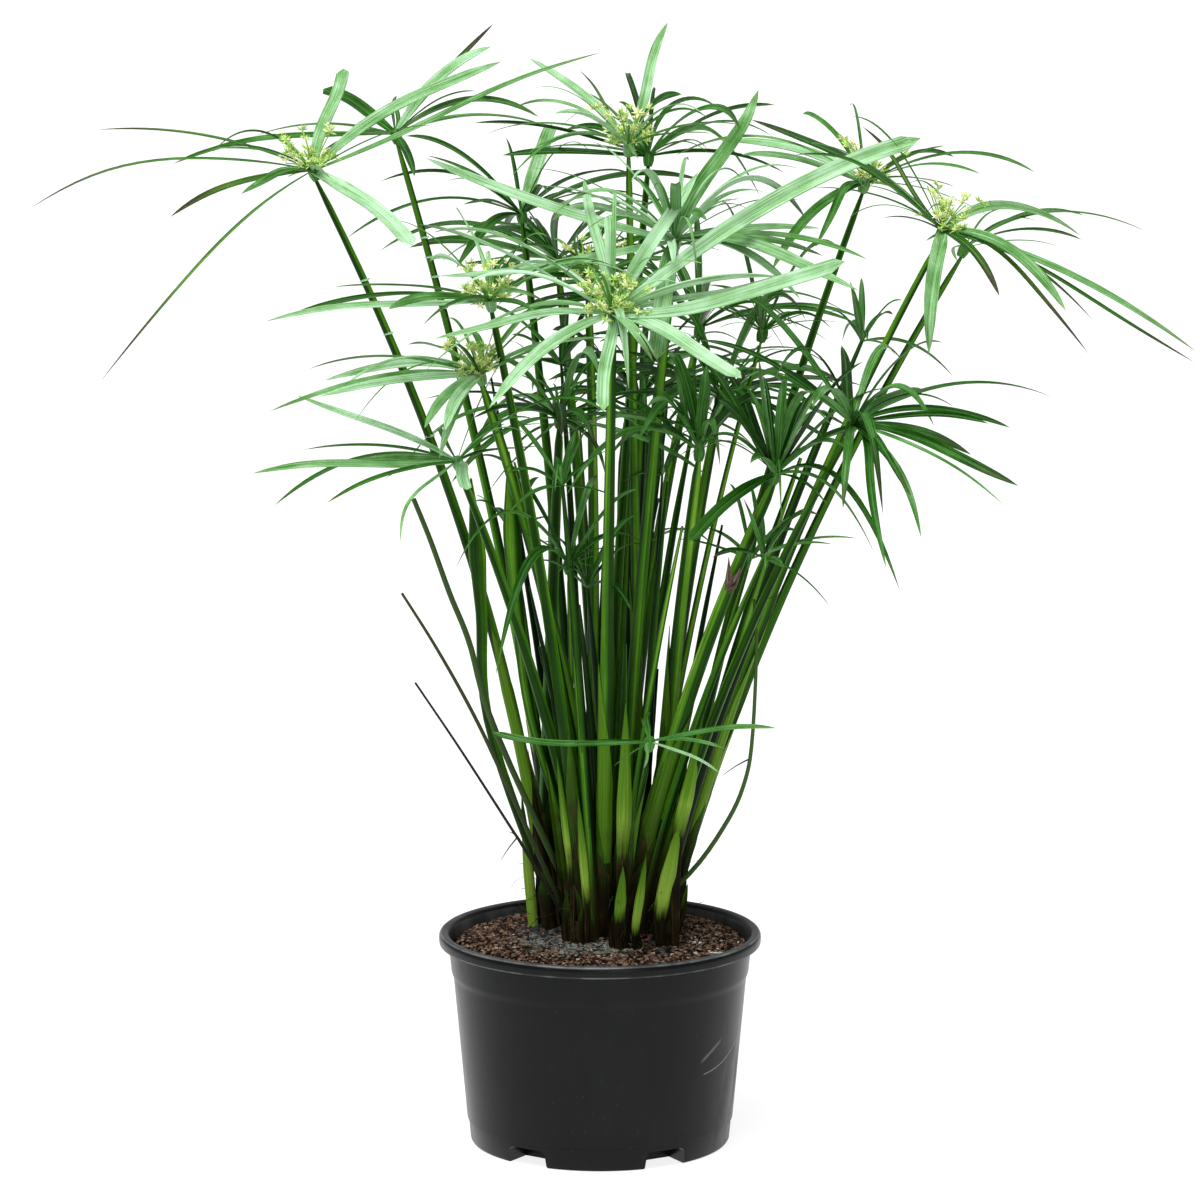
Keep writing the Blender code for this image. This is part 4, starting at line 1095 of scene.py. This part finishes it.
def make_foot_blades(finish):
    """The fresh blades at the foot, brown below where they turn green."""
    blades = Growth("foot_blades")
    for low, high, width, tone, ending in FOOT_BLADES:
        foot = (low[0], low[1], min(low[2] - 0.004, GROUND))
        course = through([foot, low, (np.array(low) + high) / 2, high], (low[0] * 4, -1, 0))
        begin = (low[2] - foot[2]) / (high[2] - foot[2]) if low[2] > 0.17 else 0
        age = np.interp(ALONG, (0, begin * 0.75, begin + 0.28, 1), (1.2, 1.1, 0, 0)) * (begin > 0)
        light = np.interp(ALONG, (begin, begin + 0.2, 0.62, 1), (tone * 0.8, tone, tone * 0.8, ending))
        girth = width / 2 * np.interp(ALONG, (0, 0.25, 0.6, 0.85, 1), (0.55, 0.85, 1, 0.55, 0.04))
        add_stem(blades, course, girth, width / 2, light, age + (ALONG - 0.45) * 0.7, 0.7)
    blades.done(finish)


def make_fibres(finish):
    """Loose fibres round the foot of the clump."""
    fibres = Growth("root_fibres")
    for _ in range(150):
        turn = draw(0, ROUND)
        reach = draw(0.03, 0.062)
        foot = CLUMP + Vector((cos(turn) * reach, sin(turn) * reach, draw(0.156, 0.205)))
        run = Vector((cos(turn) * draw(-0.3, 1), sin(turn) * draw(-0.3, 1), draw(-0.9, 0.6))).normalized()
        end = foot + run * draw(0.006, 0.026)
        course = short([foot, foot.lerp(end, 0.5) + shifted(0.003), end], (0.1, -1, 0.05))
        if end.z > 0.157:
            fibres.lay(TWIG, course, draw(0.00012, 0.00026), 0.002, draw(0.3, 1), 0.5, draw(0.5, 1))
    fibres.done(finish)


def make_foot_strips(finish):
    """Broad dead strips that stand close round the foot of each stem and of each fresh blade."""
    strips = Growth("foot_strips")
    places = [(stems[number].point(0.012), stems[number].point(draw(0.04, 0.1)))
              for number in NUMBERS if number not in THIN_STEMS]
    places += [(Vector(low), Vector((low[0] * 1.03, low[1], min(low[2], 0.186)))) for low, *_ in FOOT_BLADES]
    for low, high in places:
        if low.x < -0.036:
            continue
        for _ in range(3):
            aside = Vector((draw(-0.005, 0.005), draw(-0.002, 0.004), 0))
            foot = Vector((low.x, low.y, GROUND)) + aside
            tip = high + aside + UP * draw(-0.012, 0.012)
            points = [foot, foot.lerp(tip, 0.5) + aside * 0.2, tip]
            course = through(points, (aside.x * 60, -1, 0.1), draw(-0.4, 0.4))
            add_blade(strips, course, draw(0.006, 0.009), 0.9, 2.2, draw(0, 0.5), draw(0.6, 1))
    strips.done(finish)


def make_shoots(finish):
    """Young shoots that are still folded: a long spear, swollen towards its point."""
    for number in (1, 2):
        node = f"shoot_{number}"
        course, width = read_bare(node)
        growth = Growth(f"spear_{number}")
        add_stem(growth, course, width, 0.006, 0.5, painted_sides(), 0.8)
        growth.done(finish, [node])


def make_stalks(finish):
    """Old bare stalks, with the stubs of twigs on two of them."""
    for number, tone in STALK_TONES.items():
        node = f"stalk_{number}"
        course, width = read_bare(node)
        growth = Growth(f"bare_stalk_{number}")
        add_stem(growth, course, width * 0.9, 0.002, tone)
        for start, run, thickness in TWIGS.get(number, ()):
            base = course.point(start)
            twig = short([base, base + Vector(run) * 0.5 + UP * 0.001, base + Vector(run)])
            growth.lay(TWIG, twig, thickness * (1 - 0.7 * TWIG[0][:, 1]), 0.003, 0.2, 0.5)
        growth.done(finish, [node])


def soil_height(x, y):
    """Height of the soil, mounded towards the clump and lower at the wall."""
    mound = exp(-((x - CLUMP.x) ** 2 + (y - CLUMP.y) ** 2) / (2 * 0.05 ** 2))
    edge = max(0, (hypot(x, y) - 0.095) / 0.015)
    return SOIL_EDGE + SOIL_RISE + SOIL_MOUND * mound - SOIL_DIP * edge ** 2


def crown_height(x, y):
    return CROWN_TOP - 0.004 * (hypot(x - CLUMP.x, y - CLUMP.y) / ROOT_RADIUS) ** 4


def ground_height(x, y):
    """Height of what lies open to the sky: the soil, or the crown of the clump where it stands higher."""
    on_crown = hypot(x - CLUMP.x, y - CLUMP.y) < ROOT_RADIUS
    return max(soil_height(x, y), crown_height(x, y) if on_crown else 0)


def turned(name, sides, section, middle=(0, 0)):
    """A body of given radii and heights about an upright line, in edit mode with its last face chosen."""
    radius, height = section[0]
    bpy.ops.mesh.primitive_circle_add(vertices=sides, radius=radius, location=(*middle, height),
                                      fill_type="NGON")
    body = just_added(name)
    edit(body)
    for next_radius, next_height in section[1:]:
        bpy.ops.mesh.extrude_region_move(TRANSFORM_OT_translate={"value": (0, 0, next_height - height)})
        scale = next_radius / radius
        bpy.ops.transform.resize(value=(scale, scale, 1), center_override=(*middle, next_height))
        radius, height = next_radius, next_height
    return body


def inset(count, thickness):
    """Cuts the chosen face into rings, inwards, and closes edit mode."""
    for _ in range(count):
        bpy.ops.mesh.inset(thickness=thickness, use_boundary=True)
    close_edit()


def face_outwards(thing):
    work = bmesh.new()
    work.from_mesh(thing.data)
    bmesh.ops.recalc_face_normals(work, faces=work.faces)
    work.to_mesh(thing.data)
    work.free()


def make_soil(finish):
    """The potting mix: a body that fills the pot, with a rough mounded top."""
    section = ((0.094, 0.017), (0.1055, 0.1228), (0.11, 0.1285), (SOIL_RADIUS - 0.0003, SOIL_EDGE))
    soil = turned("potting_mix", 72, section)
    inset(26, SOIL_RADIUS / 27.5)
    for point in soil.data.vertices:
        x, y, z = point.co
        if z > SOIL_EDGE - LEVEL:
            rough = 0.0011 * sin(x * 310 + 2 * sin(y * 230)) * sin(y * 270 + sin(x * 350))
            point.co.z = soil_height(x, y) + rough - 0.0006
    face_outwards(soil)
    dress(soil, finish, ["soil"], radians(60))


def make_rootstock(finish):
    """The matted crown of the clump, with a lumpy top."""
    radius = ROOT_RADIUS * 0.86
    section = ((radius, 0.1365), (radius * 1.16, 0.1485), (radius * 1.16 * 0.96, 0.159))
    crown = turned("root_crown", 40, section, CLUMP[:2])
    inset(12, 0.0042)
    for point in crown.data.vertices:
        x, y, z = point.co
        if z > 0.158:
            lump = 0.0012 * sin(x * 420 + 3 * sin(y * 380)) + 0.0008 * sin(y * 620)
            point.co.z = crown_height(x, y) + lump
    face_outwards(crown)
    dress(crown, finish, ["rootstock"], radians(60))


def on_soil(count, low, high):
    """Random places on the soil between two radii."""
    spots = []
    while len(spots) < count:
        turn = draw(0, ROUND)
        radius = sqrt(draw(low ** 2, high ** 2))
        spots.append((radius * cos(turn), radius * sin(turn)))
    return spots


def heaped(count, x, y, wide, deep):
    """Random places on the soil round a place."""
    spots = []
    while len(spots) < count:
        spot = chance.gauss(x, wide), chance.gauss(y, deep)
        if hypot(*spot) < 0.108:
            spots.append(spot)
    return spots


def scattered(name, patterns, finish, spots, low, high, squash=0.6, sink=0.25):
    """Lumps strewn over the soil, from a low to a high size, each turned its own way."""
    growth = Growth(name)
    for x, y in spots:
        size = draw(low, high)
        pattern = pick(patterns)
        lump = pattern[0] * np.array([size * draw(0.7, 1.4), size * draw(0.7, 1.2), size * squash])
        centre = np.array([x, y, ground_height(x, y) + size * (squash - sink)])
        growth.add(pattern, lump @ tumbled(-0.6, 0.6) + centre, lump, chance.random(), 0.5)
    return growth.done(finish, crease=radians(25))


def make_litter():
    """Crumbs, bark flecks, dark gravel, grey grit and perlite on the soil."""
    lumps = model_crumbs(5, 0.32)
    stones = model_crumbs(3, 0.14)
    peat, bark, black, grey, white = (soil_finish(*look) for look in LITTER_LOOKS)
    scattered("peat_crumbs", lumps, peat, on_soil(6200, 0, 0.1078), 0.0005, 0.002)
    scattered("bark_flecks", lumps, bark, on_soil(700, 0, 0.106), 0.0006, 0.0021, 0.35, 0.1)
    spots = heaped(90, -0.042, 0.01, 0.012, 0.015) + heaped(12, 0.06, -0.034, 0.012, 0.01)
    scattered("black_gravel", stones, black, spots, 0.0016, 0.0034)
    spots = heaped(460, -0.036, -0.012, 0.013, 0.012) + heaped(480, -0.012, -0.038, 0.017, 0.008)
    scattered("grey_grit", lumps, grey, spots, 0.0007, 0.002)
    chip = scattered("pale_chip", stones, white, [CHIP], 0.003, 0.0031, 0.3, 0)
    only(chip)
    bpy.ops.transform.resize(value=(2.6, 0.8, 1), center_override=(*CHIP, 0.153))
    apply_place(chip)
    spots = on_soil(26, 0.02, 0.104) + heaped(26, 0.075, -0.016, 0.016, 0.016)
    scattered("perlite", lumps, white, spots, 0.0006, 0.0016)


def arched_block(turn, near, far, width, bottom, top):
    """A block with an arched roof that lies along the radius at an angle."""
    bpy.ops.mesh.primitive_cube_add(size=1, location=((near + far) / 2, 0, (bottom + top) / 2))
    block = bpy.context.object
    block.scale = (far - near, width, top - bottom)
    apply_place(block)
    reshape(block, lambda p: p.z > top - LEVEL, bpy.ops.transform.resize, value=(1, 0.9, 1),
            center_override=((near + far) / 2, 0, top))
    work = bmesh.new()
    work.from_mesh(block.data)
    roof = [e for e in work.edges if min(v.co.z for v in e.verts) > top - LEVEL
            and abs(e.verts[0].co.y - e.verts[1].co.y) < LEVEL]
    bmesh.ops.bevel(work, geom=roof, offset=0.004, segments=4, profile=0.5, affect="EDGES")
    work.to_mesh(block.data)
    work.free()
    block.rotation_euler = (0, 0, turn)
    apply_place(block)
    return block


def make_pot(finish):
    """The pot, turned from its section, with arched drainage notches cut through housings in its foot."""
    pot = turned("nursery_pot", 144, POT_SECTION)
    close_edit()
    face_outwards(pot)
    for operation, sizes in (("UNION", (0.071, 0.0942, 0.039, 0.00125, 0.0155)),
                             ("DIFFERENCE", (0.073, 0.121, 0.035, -0.003, 0.0135))):
        for k in range(NOTCHES):
            block = arched_block(NOTCH_TURN + NOTCH_STEP * k, *sizes)
            change(pot, "BOOLEAN", operation=operation, solver="EXACT", object=block)
            bpy.data.objects.remove(block, do_unlink=True)
    dress(pot, finish, ["pot"], radians(32))


def add_light(name, kind, power, place, turn):
    lamp = bpy.data.lights.new(name, kind)
    lamp.energy = power
    stand(name, lamp, place, turn)
    return lamp


def set_stage():
    """A pale floor, soft light from a big lamp above and a wide fill, and the camera."""
    bpy.ops.mesh.primitive_plane_add(size=80, location=(0, 20, 0))
    floor = just_added("floor")
    paper = Finish("floor_paper", Emission_Color=(1, 1, 1, 1), Emission_Strength=0.84)
    paper.cover((0.3, 0.3, 0.3, 1), 0.9)
    floor.data.materials.append(paper.material)
    for name, place, aim, size, power, colour in (
            ("overhead", (-0.4, -0.7, 2.5), (0, 0, 0.5), 1.9, 40, (0.94, 0.98, 1)),
            ("front_fill", (0.9, -3.2, 1.3), (0, 0, 0.4), 1, 12, (1, 0.99, 0.96))):
        turn = (Vector(aim) - Vector(place)).to_track_quat("-Z", "Y").to_euler()
        lamp = add_light(name, "AREA", power, place, turn)
        lamp.size = size
        lamp.color = colour
    add_light("sky", "SUN", 2, (0, 0, 3), (radians(14), radians(-10), 0)).angle = radians(50)
    world = bpy.data.worlds.new("studio")
    bpy.context.scene.world = world
    world.use_nodes = True
    background = world.node_tree.nodes["Background"]
    background.inputs["Color"].default_value = (1, 1, 1, 1)
    background.inputs["Strength"].default_value = 0.34
    camera = bpy.data.cameras.new("camera")
    camera.lens = 153.45
    camera.sensor_width = 36
    bpy.context.scene.camera = stand("camera", camera, EYE, (radians(90) - LOOK, 0, 0))
    bpy.context.scene.view_settings.view_transform = "Standard"


stems = {}                      # the course of each stem
stem_radii = {}

make_pot(pot_finish())
make_soil(soil_finish("peat", (0.006, 0.004, 0.002), (0.055, 0.034, 0.022), (0.2, 0.14, 0.1)))
make_litter()
make_rootstock(soil_finish("root_fibre", (0.006, 0.004, 0.003), (0.028, 0.018, 0.01), (0.08, 0.055, 0.03)))
stem_look = stem_finish()
sheath_look = sheath_finish()
leaf_look = bract_finish()
make_stems(stem_look)
make_sheaths(sheath_look)
make_torn_sheath(papery_finish())
make_scars(leaf_look)
make_young_culms(stem_look, leaf_look)
make_dead_strips(sheath_look)
make_foot_blades(sheath_look)
make_fibres(sheath_look)
make_shoots(stem_look)
make_stalks(stalk_finish())
make_whorls(leaf_look, flower_finish())
make_foot_strips(sheath_look)
set_stage()
